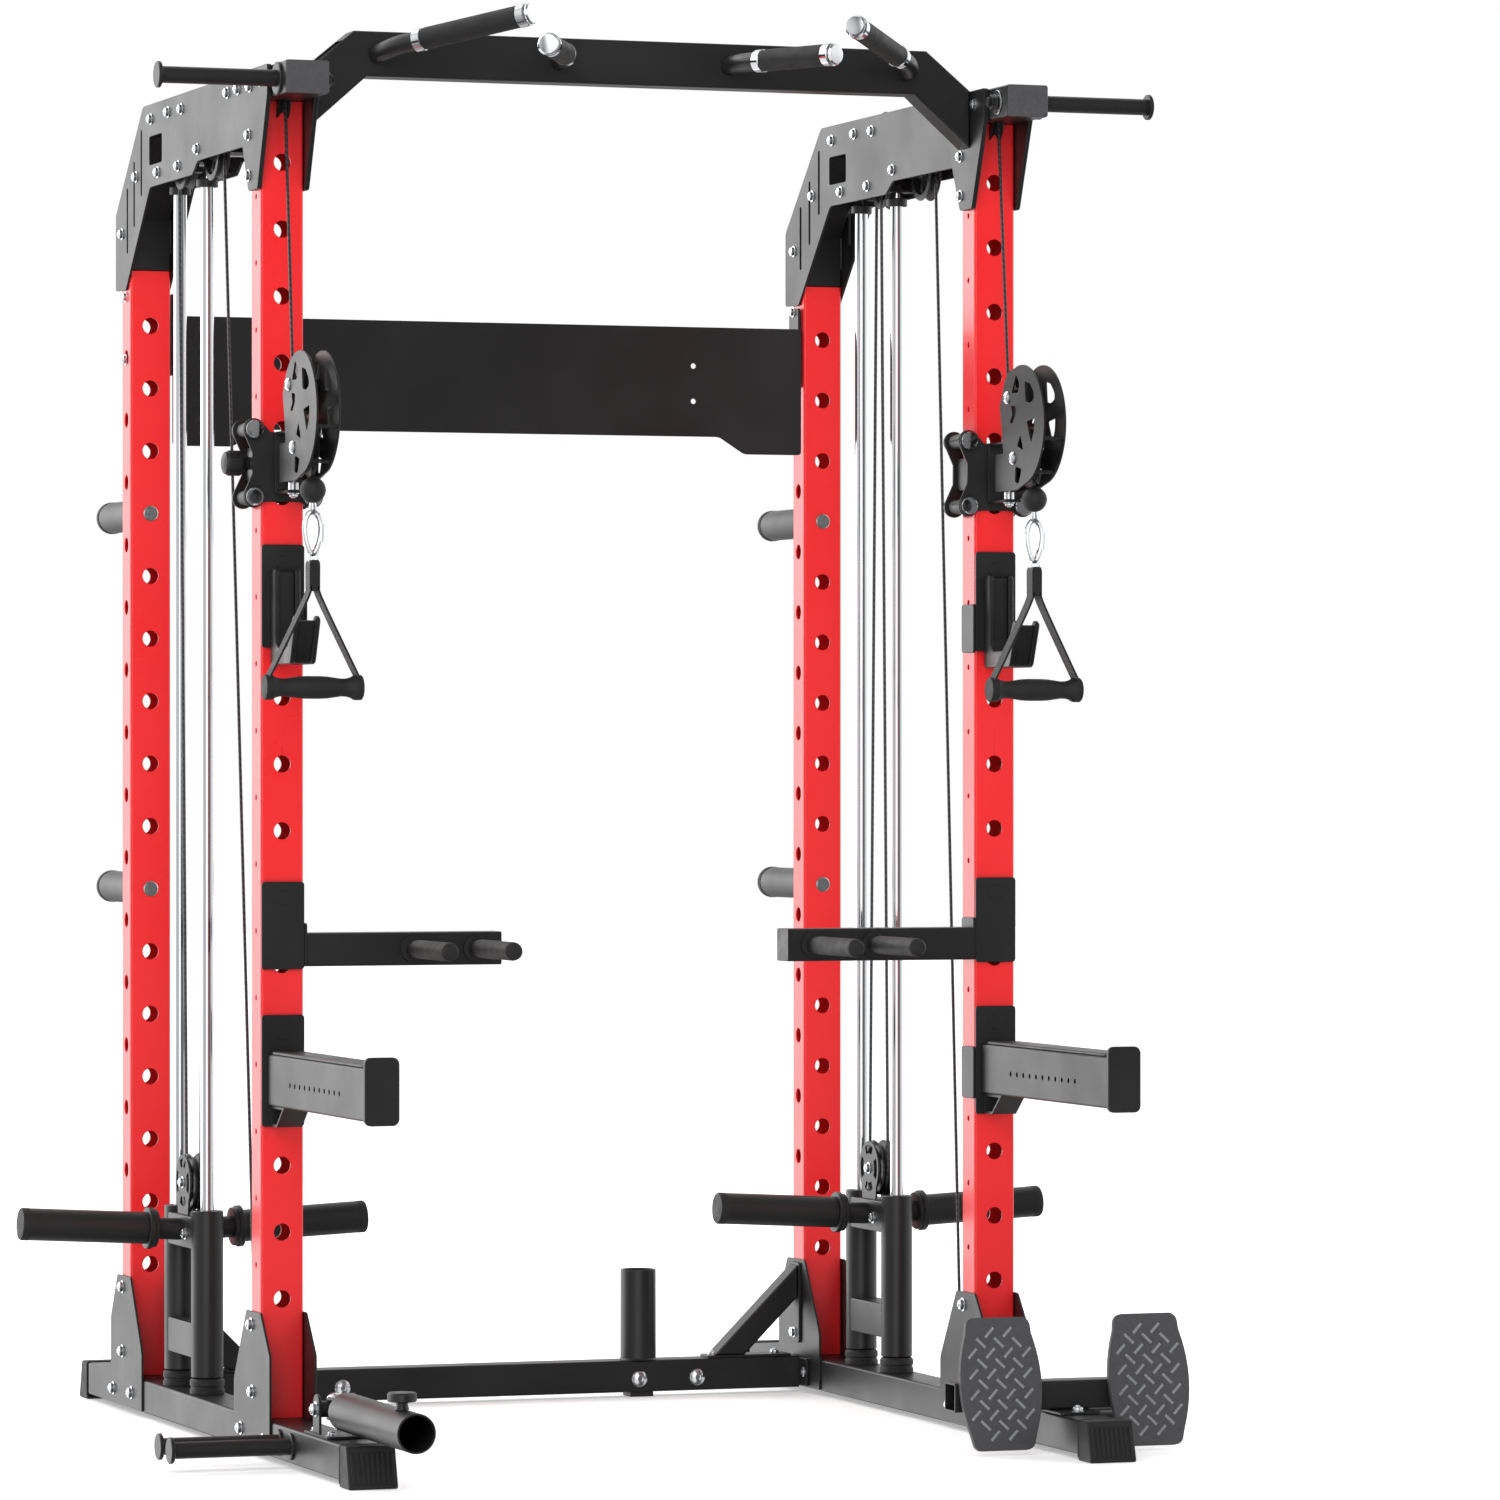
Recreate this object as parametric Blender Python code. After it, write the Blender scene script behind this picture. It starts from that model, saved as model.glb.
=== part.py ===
"""Functional trainer: a power rack with a plate-loaded cable tower on each side.

Metres, +Z up, X to the right, Y towards the back.  Sizes along Y are measured from the
front face of the front uprights and sizes along Z from the floor.  An empty carries the
whole machine, so that the world's origin is at the middle of its footprint.
"""
import math

import bmesh
import bpy
from mathutils import Matrix, Vector

# --- driving dimensions ---------------------------------------------------------------
GAP = 0.0003              # clearance between pieces that touch
TOWER_X = 0.5723          # middle of the rack to the middle of a tower
DEPTH = 0.7728            # front face of a front upright to front face of a rear one
HEAD_Z = 2.029            # top of the front uprights
REAR_DROP = 0.203         # the rear uprights end this much lower

UP_W = 0.066              # upright, across
UP_D = 0.054              # upright, front to back
UP_WALL = 0.003
HOLE_R = 0.013
HOLE_PITCH = 0.100
HOLE_DROP = 0.091         # top of an upright down to its first hole

RAIL_BOTTOM = 0.008
RAIL_H = 0.052
RAIL_FRONT = -0.430
RAIL_OVERHANG = 0.267     # rail behind the front face of the rear upright
RAIL_WALL = 0.003
SHOE_TOP = 0.218          # top of the plates that hold an upright to its rail
PLATE_T = 0.0035          # side plates and shoe plates
CAP_LENGTH = 0.052        # rubber foot beyond the end of the rail
CAP_PLUG = 0.035
CAP_PROUD = 0.0035        # rubber foot beyond each side of the rail

CROSS_D = 0.050           # rear crossmember, front to back
HOLDER_X = 0.259          # bar holder on the crossmember
HOLDER_R = 0.029
HOLDER_BORE = 0.026
HOLDER_TOP = 0.208
BRACE = 0.038             # square tube of the braces

BEAM_H = 0.049            # top beam of a tower
BEAM_FRONT = -0.137
SIDE_BAR_R = 0.0125       # bars for bands and straps
SIDE_BAR_REACH = 0.2177   # from the middle of a tower to the end of a side bar
SIDE_BAR_Y = -0.097
SIDE_BAR_STUB = 0.051     # and to its end on the inner side
END_DISC_R = 0.0195       # discs at the ends of the side bars
END_DISC_T = 0.006
BAND_PEG_Y = (-0.104, -0.168)

PULL_UP_H = 0.068
PULL_UP_D = 0.050
PULL_UP_RISE = 0.110      # top of the pull-up beam above the front uprights
GRIP_R = 0.015

PULLEY_R = 0.045
PULLEY_HALF = 0.0095
GROOVE_DEPTH = 0.007
AXLE_R = 0.008
CABLE_R = 0.0025
CABLE_SEAT = 0.0007       # air between cable and groove
PULLEY_SHIFT = 0.012      # the two cable planes in the tower head
BASE_PULLEY_R = 0.038

CARRIAGE_Y = 0.509        # middle of the weight carriage
ROD_SPAN = 0.162          # guide rod to guide rod
ROD_R = 0.0105
ROD_CLEAR = 0.001
SLEEVE_R = 0.025
SLEEVE_H = 0.259
BUMPER_R = 0.027
BUMPER_H = 0.024
PEG_R = 0.025             # plate pegs: Olympic size
PEG_REACH = 0.278
PEG_Z = 0.310
PEG_TILT = math.radians(3.0)
STORAGE_REACH = 0.198
STORAGE_HEIGHTS = (1.438, 0.838)
STORAGE_WALL = 0.003

ROD_DROP = 0.074          # top of the uprights down to the top of the guide rods
TROLLEY_HEIGHT = 1.488    # wished heights; each takes the nearest hole
ROLLER_R = 0.0115
SWIVEL_Y = -0.060
SWIVEL_HALF = 0.0155      # inner faces of the swivel plates
SWIVEL_T = 0.003
HOOK_HEIGHT = 1.338
DIP_HEIGHT = 0.838
SPOTTER_HEIGHT = 0.638
FITTING_T = 0.005         # face plates of the hooks, dip bars and spotter arms
FITTING_GAP = 0.0005
PIN_R = 0.012

LANDMINE_Y = -0.285
LANDMINE_Z = 0.099
LANDMINE_R = 0.0285
LANDMINE_BORE = 0.0255
LANDMINE_LENGTH = 0.358
FOOT_X = (-0.1148, 0.1257)  # foot plates, from the middle of the right rail
FOOT_Y = -0.317
FOOT_Z = 0.107

# --- sizes that follow ----------------------------------------------------------------
SIDES = (("left", -1), ("right", 1))
HALF_W = UP_W / 2
PLATE_IN = HALF_W + GAP                    # plates clear the uprights
PLATE_OUT = PLATE_IN + PLATE_T
RAIL_HALF = PLATE_IN + 0.0002              # and are welded to the rails
RAIL_TOP = RAIL_BOTTOM + RAIL_H
RAIL_REAR = DEPTH + RAIL_OVERHANG
REAR_TOP = HEAD_Z - REAR_DROP
BEAM_TOP = HEAD_Z + BEAM_H
INNER_FACE = TOWER_X - PLATE_OUT           # plates' faces towards the rack's middle
FIRST_HOLE = HEAD_Z - HOLE_DROP
HOLE_COUNT = int((FIRST_HOLE - SHOE_TOP - HOLE_R) / HOLE_PITCH) + 1
ROD_TOP = HEAD_Z - ROD_DROP
CABLE_LINE = PULLEY_R - GROOVE_DEPTH + CABLE_SEAT + CABLE_R
BASE_LINE = BASE_PULLEY_R - GROOVE_DEPTH + CABLE_SEAT + CABLE_R
LANDMINE_FRONT = LANDMINE_Y - 0.050 - LANDMINE_LENGTH
MACHINE_MIDDLE = (LANDMINE_FRONT + RAIL_REAR + CAP_LENGTH) / 2

# Pulley centres (Y, Z) in a tower.
FRONT_PULLEY = (UP_D / 2 - 0.001, HEAD_Z + 0.011)
DROP_PULLEY = (CARRIAGE_Y - 2 * CABLE_LINE, HEAD_Z + 0.011)
REAR_PULLEY = (CARRIAGE_Y, HEAD_Z - PULLEY_R - 0.004)
SLANT_PULLEY = (0.327, HEAD_Z - PULLEY_R - 0.004)
BASE_PULLEY = (UP_D + 0.057, RAIL_TOP + 0.055)
CARRIAGE_PULLEY = (CARRIAGE_Y, PEG_Z + 0.029 + PULLEY_R)
TROLLEY_Z = FIRST_HOLE - (round((FIRST_HOLE - TROLLEY_HEIGHT) / HOLE_PITCH - 0.5) + 0.5) * HOLE_PITCH
LOWER_PULLEY = (SWIVEL_Y - CABLE_LINE - 0.0228, TROLLEY_Z + 0.018)
UPPER_PULLEY = (SWIVEL_Y - CABLE_LINE, LOWER_PULLEY[1] + 2 * PULLEY_R + 0.004)
BALL = (LOWER_PULLEY[0] - CABLE_LINE, TROLLEY_Z - 0.046)
ROD_Y = (CARRIAGE_Y - ROD_SPAN / 2, CARRIAGE_Y + ROD_SPAN / 2)


def hole_z(index):
    return FIRST_HOLE - index * HOLE_PITCH


def nearest_hole(height):
    return round((FIRST_HOLE - height) / HOLE_PITCH)


# --- scene ----------------------------------------------------------------------------
for old in list(bpy.data.objects):
    bpy.data.objects.remove(old)

base = bpy.data.objects.new("trainer_base", None)
base.location = (0, -MACHINE_MIDDLE, 0)
bpy.context.collection.objects.link(base)


def paint(name, colour, roughness, metallic=0.0):
    material = bpy.data.materials.new(name)
    material.use_nodes = True
    shader = material.node_tree.nodes["Principled BSDF"]
    shader.inputs["Base Color"].default_value = (*colour, 1)
    shader.inputs["Roughness"].default_value = roughness
    shader.inputs["Metallic"].default_value = metallic
    return material


RED = paint("red_powder_coat", (0.72, 0.020, 0.022), 0.35)
BLACK = paint("black_powder_coat", (0.022, 0.022, 0.024), 0.45)
CHROME = paint("chrome", (0.80, 0.80, 0.82), 0.12, 1.0)
RUBBER = paint("rubber", (0.018, 0.018, 0.018), 0.8)
PLASTIC = paint("black_plastic", (0.020, 0.020, 0.022), 0.5)
STEEL_WIRE = paint("coated_wire", (0.03, 0.03, 0.03), 0.4)


# --- shapes ---------------------------------------------------------------------------
def as_object(bm):
    bmesh.ops.remove_doubles(bm, verts=bm.verts, dist=1e-6)
    bmesh.ops.recalc_face_normals(bm, faces=bm.faces)
    mesh = bpy.data.meshes.new("solid")
    bm.to_mesh(mesh)
    bm.free()
    obj = bpy.data.objects.new("solid", mesh)
    bpy.context.collection.objects.link(obj)
    return obj


def lift(axis, u, v, w):
    """A point of an outline (u, v), w along the axis; outlines are YZ, XZ or XY."""
    return {"X": (w, u, v), "Y": (u, w, v), "Z": (u, v, w)}[axis]


def prism(axis, outline, low, high):
    bm = bmesh.new()
    ends = [[bm.verts.new(lift(axis, u, v, w)) for u, v in outline] for w in (low, high)]
    bm.faces.new(ends[0])
    bm.faces.new(ends[1])
    for i in range(len(outline)):
        j = (i + 1) % len(outline)
        bm.faces.new((ends[0][i], ends[0][j], ends[1][j], ends[1][i]))
    return as_object(bm)


def ring_prism(axis, outer, inner, low, high):
    """A straight tube with open ends; both outlines have the same number of points."""
    bm = bmesh.new()
    loops = [[bm.verts.new(lift(axis, u, v, w)) for u, v in outline]
             for outline, w in ((outer, low), (outer, high), (inner, high), (inner, low))]
    for k in range(4):
        first, second = loops[k], loops[(k + 1) % 4]
        for i in range(len(outer)):
            j = (i + 1) % len(outer)
            bm.faces.new((first[i], first[j], second[j], second[i]))
    return as_object(bm)


def rect(u0, u1, v0, v1):
    return [(u0, v0), (u1, v0), (u1, v1), (u0, v1)]


def box(x, y, z):
    return prism("Z", rect(min(x), max(x), min(y), max(y)), min(z), max(z))


def square_tube(axis, u, v, wall, low, high):
    return ring_prism(axis, rect(*u, *v), rect(u[0] + wall, u[1] - wall, v[0] + wall, v[1] - wall),
                      low, high)


def circle(centre, radius, sides, turn=0.5):
    steps = [2 * math.pi * (i + turn) / sides for i in range(sides)]
    return [(centre[0] + radius * math.cos(a), centre[1] + radius * math.sin(a)) for a in steps]


def arc(centre, radii, start, end, count):
    """Points of an elliptic arc, both ends included; angles in degrees."""
    steps = [math.radians(start + (end - start) * i / (count - 1)) for i in range(count)]
    return [(centre[0] + radii[0] * math.cos(a), centre[1] + radii[1] * math.sin(a)) for a in steps]


def disc(axis, centre, radius, low, high, sides=12):
    return prism(axis, circle(centre, radius, sides), min(low, high), max(low, high))


def pipe(axis, centre, radius, bore, low, high, sides=12):
    return ring_prism(axis, circle(centre, radius, sides), circle(centre, bore, sides),
                      min(low, high), max(low, high))


def turned(profile, centre, sides=12):
    """A solid turned about X; the profile is (x, radius) from one end to the other."""
    bm = bmesh.new()
    rings = [[bm.verts.new((centre[0] + x, centre[1] + y, centre[2] + z))
              for y, z in circle((0, 0), radius, sides)] for x, radius in profile]
    bm.faces.new(rings[0])
    bm.faces.new(rings[-1])
    for first, second in zip(rings, rings[1:]):
        for i in range(sides):
            j = (i + 1) % sides
            bm.faces.new((first[i], first[j], second[j], second[i]))
    return as_object(bm)


def evaluated_mesh(obj):
    bpy.context.view_layer.update()
    graph = bpy.context.evaluated_depsgraph_get()
    return bpy.data.meshes.new_from_object(obj.evaluated_get(graph))


def bent_bar(points, radius, resolution=1):
    """A round bar along a line of points."""
    curve = bpy.data.curves.new("route", "CURVE")
    curve.dimensions = "3D"
    curve.bevel_depth = radius
    curve.bevel_resolution = resolution
    curve.use_fill_caps = True
    spline = curve.splines.new("POLY")
    spline.points.add(len(points) - 1)
    for target, point in zip(spline.points, points):
        target.co = (*point, 1)
    guide = bpy.data.objects.new("route", curve)
    bpy.context.collection.objects.link(guide)
    bm = bmesh.new()
    bm.from_mesh(evaluated_mesh(guide))
    bpy.data.objects.remove(guide)
    return as_object(bm)


def combine(target, tools, operation):
    """Applies a Boolean of each tool to the target and removes the tools."""
    for tool in tools:
        modifier = target.modifiers.new("shape", "BOOLEAN")
        modifier.operation = operation
        modifier.object = tool
        target.data = evaluated_mesh(target)
        target.modifiers.clear()
        bpy.data.objects.remove(tool)
    return target


def join(*pieces):
    return combine(pieces[0], pieces[1:], "UNION")


def cut(target, *tools):
    return combine(target, tools, "DIFFERENCE")


def one_cutter(tools):
    """Cutters that don't touch each other, as one object."""
    bm = bmesh.new()
    for tool in tools:
        bm.from_mesh(tool.data)
        bpy.data.objects.remove(tool)
    return as_object(bm)


def finish(obj, name, material, origin=(0, 0, 0)):
    """Names a sub-part, paints it and puts its origin where it turns or slides."""
    obj.name = name
    obj.data.name = name
    obj.data.transform(Matrix.Translation(-Vector(origin)))
    obj.location = origin
    obj.parent = base
    obj.data.materials.clear()
    obj.data.materials.append(material)
    obj.data.shade_smooth()
    obj.data.set_sharp_from_angle(angle=math.radians(35))
    return obj


# --- frame ----------------------------------------------------------------------------
def upright_tube(x, y, top, skip=()):
    tube = square_tube("Z", (x - HALF_W, x + HALF_W), (y, y + UP_D), UP_WALL, RAIL_TOP + GAP, top)
    holes = [disc("Y", (x, hole_z(i)), HOLE_R, y - 0.01, y + UP_D + 0.01, 8)
             for i in range(HOLE_COUNT) if i not in skip and hole_z(i) + 2 * HOLE_R < top]
    return cut(tube, one_cutter(holes))


def pulley_slot(x, pulley, low, high):
    """Room for a pulley that stands through a wall."""
    half = PULLEY_HALF + 0.002
    reach = PULLEY_R + 0.006
    return box((x - half, x + half), (pulley[0] - reach, pulley[0] + reach), (low, high))


def uprights(side, sign):
    x = sign * TOWER_X
    front = upright_tube(x, 0, HEAD_Z - GAP)
    cut(front, pulley_slot(x, FRONT_PULLEY, HEAD_Z - 0.036, HEAD_Z + 0.01))
    finish(front, f"front_upright_{side}", RED)
    storage = [nearest_hole(height) for height in STORAGE_HEIGHTS]
    rear = upright_tube(x, DEPTH, REAR_TOP - GAP, storage)
    back = DEPTH + UP_D
    pegs = [pipe("Y", (x, hole_z(i)), PEG_R, PEG_R - STORAGE_WALL, back - 0.002, back + STORAGE_REACH)
            for i in storage]
    finish(join(rear, *pegs), f"rear_upright_{side}", RED)


def shoe_outlines():
    """Front and rear shoe plates, as (Y, Z) outlines."""
    low = RAIL_BOTTOM + 0.002
    front = [(-0.060, low), (0.139, low), (0.139, 0.110), (UP_D + 0.0155, SHOE_TOP),
             (-0.0085, SHOE_TOP), (-0.060, 0.157)]
    rear = [(DEPTH - 0.083, low), (RAIL_REAR - 0.010, low), (RAIL_REAR - 0.010, RAIL_TOP),
            (DEPTH + 0.112, 0.073), (DEPTH + 0.112, 0.147), (DEPTH + 0.071, SHOE_TOP),
            (DEPTH - 0.011, SHOE_TOP), (DEPTH - 0.075, 0.116), (DEPTH - 0.083, 0.100)]
    return front, rear


def side_bar(x, sign, centre, start):
    """A bar that sticks out of a tower, with the disc that keeps a band on it."""
    end = x + sign * SIDE_BAR_REACH
    return [disc("X", centre, SIDE_BAR_R, start, end, 10),
            disc("X", centre, END_DISC_R, end + sign * (0.002 - END_DISC_T), end + sign * 0.002, 10)]


def base_rail(side, sign):
    x = sign * TOWER_X
    rail = square_tube("Y", (x - RAIL_HALF, x + RAIL_HALF), (RAIL_BOTTOM, RAIL_TOP), RAIL_WALL,
                       RAIL_FRONT, RAIL_REAR)
    plates = [prism("X", outline, *sorted((x + k * PLATE_IN, x + k * PLATE_OUT)))
              for outline in shoe_outlines() for k in (-1, 1)]
    middle = RAIL_BOTTOM + RAIL_H / 2
    start = x + sign * (RAIL_HALF - RAIL_WALL / 2)
    pegs = []
    for y in BAND_PEG_Y:
        pegs += side_bar(x, sign, (y, middle), start)
    rail = join(rail, *plates, *pegs)
    if side == "left":
        join(rail, *landmine_bracket(x))
    finish(rail, f"base_rail_{side}", BLACK)


def landmine_bracket(x):
    half = RAIL_HALF - 0.004
    low = RAIL_TOP - 0.0005
    plate = box((x - half - 0.002, x + half + 0.002), (LANDMINE_Y - 0.065, LANDMINE_Y + 0.060),
                (low, RAIL_TOP + 0.004))
    ear = [(LANDMINE_Y - 0.016, RAIL_TOP + 0.002), (LANDMINE_Y + 0.016, RAIL_TOP + 0.002),
           *arc((LANDMINE_Y, LANDMINE_Z + 0.006), (0.016, 0.016), 0, 180, 6)]
    ears = [prism("X", ear, *sorted((x + k * half, x + k * (half - 0.004)))) for k in (-1, 1)]
    return [plate, *ears]


def foot_caps(side, sign):
    """Rubber feet: a wedge on the floor with a plug in the open end of the rail."""
    x = sign * TOWER_X
    half = RAIL_HALF - RAIL_WALL - GAP
    plug_low = RAIL_BOTTOM + RAIL_WALL + GAP
    plug_high = RAIL_TOP - RAIL_WALL - GAP
    for end, face, way in (("front", RAIL_FRONT, -1), ("rear", RAIL_REAR, 1)):
        near = face + way * GAP
        wedge = [(near, 0), (face + way * CAP_LENGTH, 0),
                 (face + way * (CAP_LENGTH - 0.016), RAIL_TOP + 0.001), (near, RAIL_TOP + 0.001)]
        block = prism("X", wedge, x - (RAIL_HALF + CAP_PROUD), x + (RAIL_HALF + CAP_PROUD))
        plug = box((x - half, x + half), (near + way * 0.001, face - way * CAP_PLUG),
                   (plug_low, plug_high))
        finish(join(block, plug), f"foot_cap_{end}_{side}", RUBBER)


def crossmember():
    """The tube between the rails, with its end plates, braces and the bar holder."""
    end = INNER_FACE - GAP
    front = DEPTH + 0.001
    tube = square_tube("X", (front, front + CROSS_D), (RAIL_BOTTOM, RAIL_TOP), RAIL_WALL, -end, end)
    middle = front + CROSS_D / 2
    pieces = [pipe("Z", (HOLDER_X, middle), HOLDER_R, HOLDER_BORE, RAIL_TOP - 0.001, HOLDER_TOP),
              box((HOLDER_X - 0.02, HOLDER_X + 0.02), (middle - 0.02, middle + 0.02),
                  (0, RAIL_BOTTOM + 0.001))]
    for _, sign in SIDES:
        pieces += brace(sign, end, middle)
    finish(join(tube, *pieces), "rear_crossmember", BLACK)


def brace(sign, end, middle):
    plate = 0.004
    foot_out = end - 0.017
    flange = rect(DEPTH - 0.034, DEPTH + 0.106, RAIL_BOTTOM + 0.004, RAIL_TOP - 0.003)
    end_plate = prism("X", flange, *sorted((sign * end, sign * (end - plate))))
    foot = box((sign * foot_out, sign * (foot_out - 0.145)), (middle - 0.023, middle + 0.023),
               (RAIL_TOP - 0.0005, RAIL_TOP + plate))
    wall = box((sign * end, sign * (end - plate)), (middle - 0.023, middle + 0.023), (0.081, 0.213))
    low, high = RAIL_TOP + 0.002, RAIL_TOP + 0.150
    reach = high - low
    strut = [(end - 0.002, high), (end - 0.002, high - BRACE * math.sqrt(2)),
             (end - 0.002 - reach + BRACE * math.sqrt(2), low), (end - 0.002 - reach, low)]
    half = BRACE / 2
    tube = prism("Y", [(sign * u, v) for u, v in strut], middle - half, middle + half)
    return [end_plate, foot, wall, tube]


def beam_outline(inset=0.0, open_end=0.0):
    """The top beam and its rear leg, as a (Y, Z) outline."""
    back = DEPTH + UP_D
    foot = REAR_TOP - open_end
    return [(BEAM_FRONT - open_end, HEAD_Z + inset), (DEPTH - 0.118, HEAD_Z + inset),
            (DEPTH + inset, REAR_TOP + 0.079 + inset / 2), (DEPTH + inset, foot),
            (back - inset, foot), (back - inset, REAR_TOP + 0.099 - inset / 2),
            (DEPTH - 0.093 - inset / 2, BEAM_TOP - inset), (BEAM_FRONT - open_end, BEAM_TOP - inset)]


def top_beam(side, sign):
    x = sign * TOWER_X
    beam = prism("X", beam_outline(), x - HALF_W, x + HALF_W)
    hollow = prism("X", beam_outline(UP_WALL, 0.01), x - HALF_W + UP_WALL, x + HALF_W - UP_WALL)
    drop_x = x - sign * PULLEY_SHIFT
    cut(beam, hollow, pulley_slot(x, FRONT_PULLEY, HEAD_Z - 0.01, BEAM_TOP + 0.01),
        pulley_slot(drop_x, DROP_PULLEY, HEAD_Z - 0.01, BEAM_TOP + 0.01))
    centre = (SIDE_BAR_Y, HEAD_Z + BEAM_H / 2)
    bar = side_bar(x, sign, centre, x - sign * SIDE_BAR_STUB)
    finish(join(beam, *bar), f"top_beam_{side}", BLACK)


def side_plate_outline():
    """Tower head plate with its front gusset, as a (Y, Z) outline."""
    top = BEAM_TOP + 0.001
    return [(-0.060, top), (-0.060, top - 0.045), (-0.005, HEAD_Z - 0.132),
            (UP_D - 0.009, HEAD_Z - 0.132), (0.078, HEAD_Z - 0.062), (0.350, HEAD_Z - 0.062),
            (0.382, HEAD_Z - 0.081), (DEPTH - 0.135, HEAD_Z - 0.081), (DEPTH + 0.017, REAR_TOP - 0.031),
            (DEPTH + 0.080, REAR_TOP - 0.029), (DEPTH + 0.080, REAR_TOP + 0.092), (DEPTH - 0.091, top)]


def gusset_outline():
    top = BEAM_TOP + 0.001
    return [(-0.060, top), (-0.060, top - 0.045), (-0.005, HEAD_Z - 0.132),
            (UP_D - 0.009, HEAD_Z - 0.132), (0.078, HEAD_Z - 0.062), (0.115, top)]


def side_plates(side, sign):
    x = sign * TOWER_X
    window = rect(DEPTH - 0.209, DEPTH - 0.131, HEAD_Z - 0.050, HEAD_Z - 0.006)
    for place, way in (("outer", sign), ("inner", -sign)):
        near, far = x + way * PLATE_IN, x + way * PLATE_OUT
        plate = prism("X", side_plate_outline(), *sorted((near, far)))
        cut(plate, prism("X", window, *sorted((near - way * 0.01, far + way * 0.01))))
        if place == "outer":
            gusset = prism("X", gusset_outline(), *sorted((far - way * 0.001, far + way * PLATE_T)))
            join(plate, gusset)
        else:
            join(plate, *rod_seats(x, sign))
        finish(plate, f"head_plate_{place}_{side}", BLACK)


def rod_seats(x, sign):
    """Tabs of the inner head plate over the guide rods."""
    low = ROD_TOP + GAP
    return [box((x - sign * (PLATE_IN + 0.001), x + sign * (PLATE_IN - GAP)), (y - 0.014, y + 0.014),
                (low, low + 0.005)) for y in ROD_Y]


def pull_up_outline(inset=0.0, past=0.0):
    """Pull-up beam from end to end, as an (X, Z) outline."""
    top = HEAD_Z + PULL_UP_RISE
    end = INNER_FACE - GAP - PLATE_T + 0.001 + past
    half = [(0.440, top - PULL_UP_H + inset), (end, top - PULL_UP_H - 0.081 + inset * 1.3),
            (end, top - 0.059 - inset * 1.3), (0.460, top - inset)]
    return [(-u, v) for u, v in reversed(half)] + half


def pull_up_beam():
    beam = prism("Y", pull_up_outline(), 0, PULL_UP_D)
    ends = [prism("X", gusset_outline(), *sorted((s * (INNER_FACE - GAP), s * (INNER_FACE - GAP - PLATE_T))))
            for _, s in SIDES]
    join(beam, *ends)
    cut(beam, prism("Y", pull_up_outline(UP_WALL, 0.02), UP_WALL, PULL_UP_D - UP_WALL))
    z = HEAD_Z + PULL_UP_RISE - PULL_UP_H / 2
    grips = []
    for _, s in SIDES:
        outer = [(s * 0.424, 0.001, z), (s * 0.424, -0.022, z), (s * 0.410, -0.050, z + 0.008),
                 (s * 0.257, -0.229, z + 0.043)]
        inner = [(s * 0.137, 0.001, z), (s * 0.137, -0.035, z), (s * 0.146, -0.070, z),
                 (s * 0.226, -0.223, z)]
        grips += [bent_bar(outer, GRIP_R, 2), bent_bar(inner, GRIP_R, 2)]
    finish(join(beam, *grips), "pull_up_beam", BLACK)


def back_panel():
    end = INNER_FACE - GAP
    top = REAR_TOP - 0.071
    half = [(0.392, top - 0.180), (0.436, top - 0.208), (end, top - 0.208), (end, top)]
    outline = [(-u, v) for u, v in reversed(half)] + half
    front = DEPTH + 0.002
    panel = prism("Y", outline, front, front + 0.004)
    flanges = [box((s * end, s * (end - 0.004)), (front, front + 0.048), (top - 0.095, REAR_TOP - 0.036))
               for _, s in SIDES]
    finish(join(panel, *flanges), "back_panel", BLACK)


# --- towers ---------------------------------------------------------------------------
def guide_rods(side, sign):
    """Chromed rods with their rubber bumpers at the foot and stop collars at the head."""
    x = sign * TOWER_X
    for place, y in zip(("front", "rear"), ROD_Y):
        rod = disc("Z", (x, y), ROD_R, RAIL_TOP + GAP, ROD_TOP)
        bumper = disc("Z", (x, y), BUMPER_R, RAIL_TOP + GAP, RAIL_TOP + BUMPER_H)
        collar = disc("Z", (x, y), ROD_R + 0.007, ROD_TOP - 0.024, ROD_TOP - 0.009)
        finish(join(rod, bumper, collar), f"guide_rod_{place}_{side}", CHROME)


def pulley(name, x, centre, axle, radius=PULLEY_R, shift=0.0):
    """A grooved wheel on its axle; axle is the axle's half length about x."""
    half, root = PULLEY_HALF, radius - GROOVE_DEPTH
    profile = [(-axle, AXLE_R), (shift - half, AXLE_R), (shift - half, radius), (shift - 0.003, root),
               (shift + 0.003, root), (shift + half, radius), (shift + half, AXLE_R), (axle, AXLE_R)]
    place = (x, *centre)
    finish(turned(profile, place), name, PLASTIC, place)


def tower_pulleys(side, sign):
    x = sign * TOWER_X
    in_beam = HALF_W - UP_WALL - 0.001
    in_plates = PLATE_IN - 0.0006
    shift = sign * PULLEY_SHIFT
    pulley(f"front_top_pulley_{side}", x, FRONT_PULLEY, in_beam)
    pulley(f"drop_pulley_{side}", x, DROP_PULLEY, in_beam, shift=-shift)
    pulley(f"rear_top_pulley_{side}", x, REAR_PULLEY, in_plates, shift=shift)
    pulley(f"slant_pulley_{side}", x, SLANT_PULLEY, in_plates, shift=shift)
    pulley(f"base_pulley_{side}", x, BASE_PULLEY, in_plates, BASE_PULLEY_R)
    pulley(f"carriage_pulley_{side}", x, CARRIAGE_PULLEY, PULLEY_HALF + 0.004)
    pulley(f"swivel_upper_pulley_{side}", x, UPPER_PULLEY, SWIVEL_HALF - 0.0006)
    pulley(f"swivel_lower_pulley_{side}", x, LOWER_PULLEY, SWIVEL_HALF - 0.0006)


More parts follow.
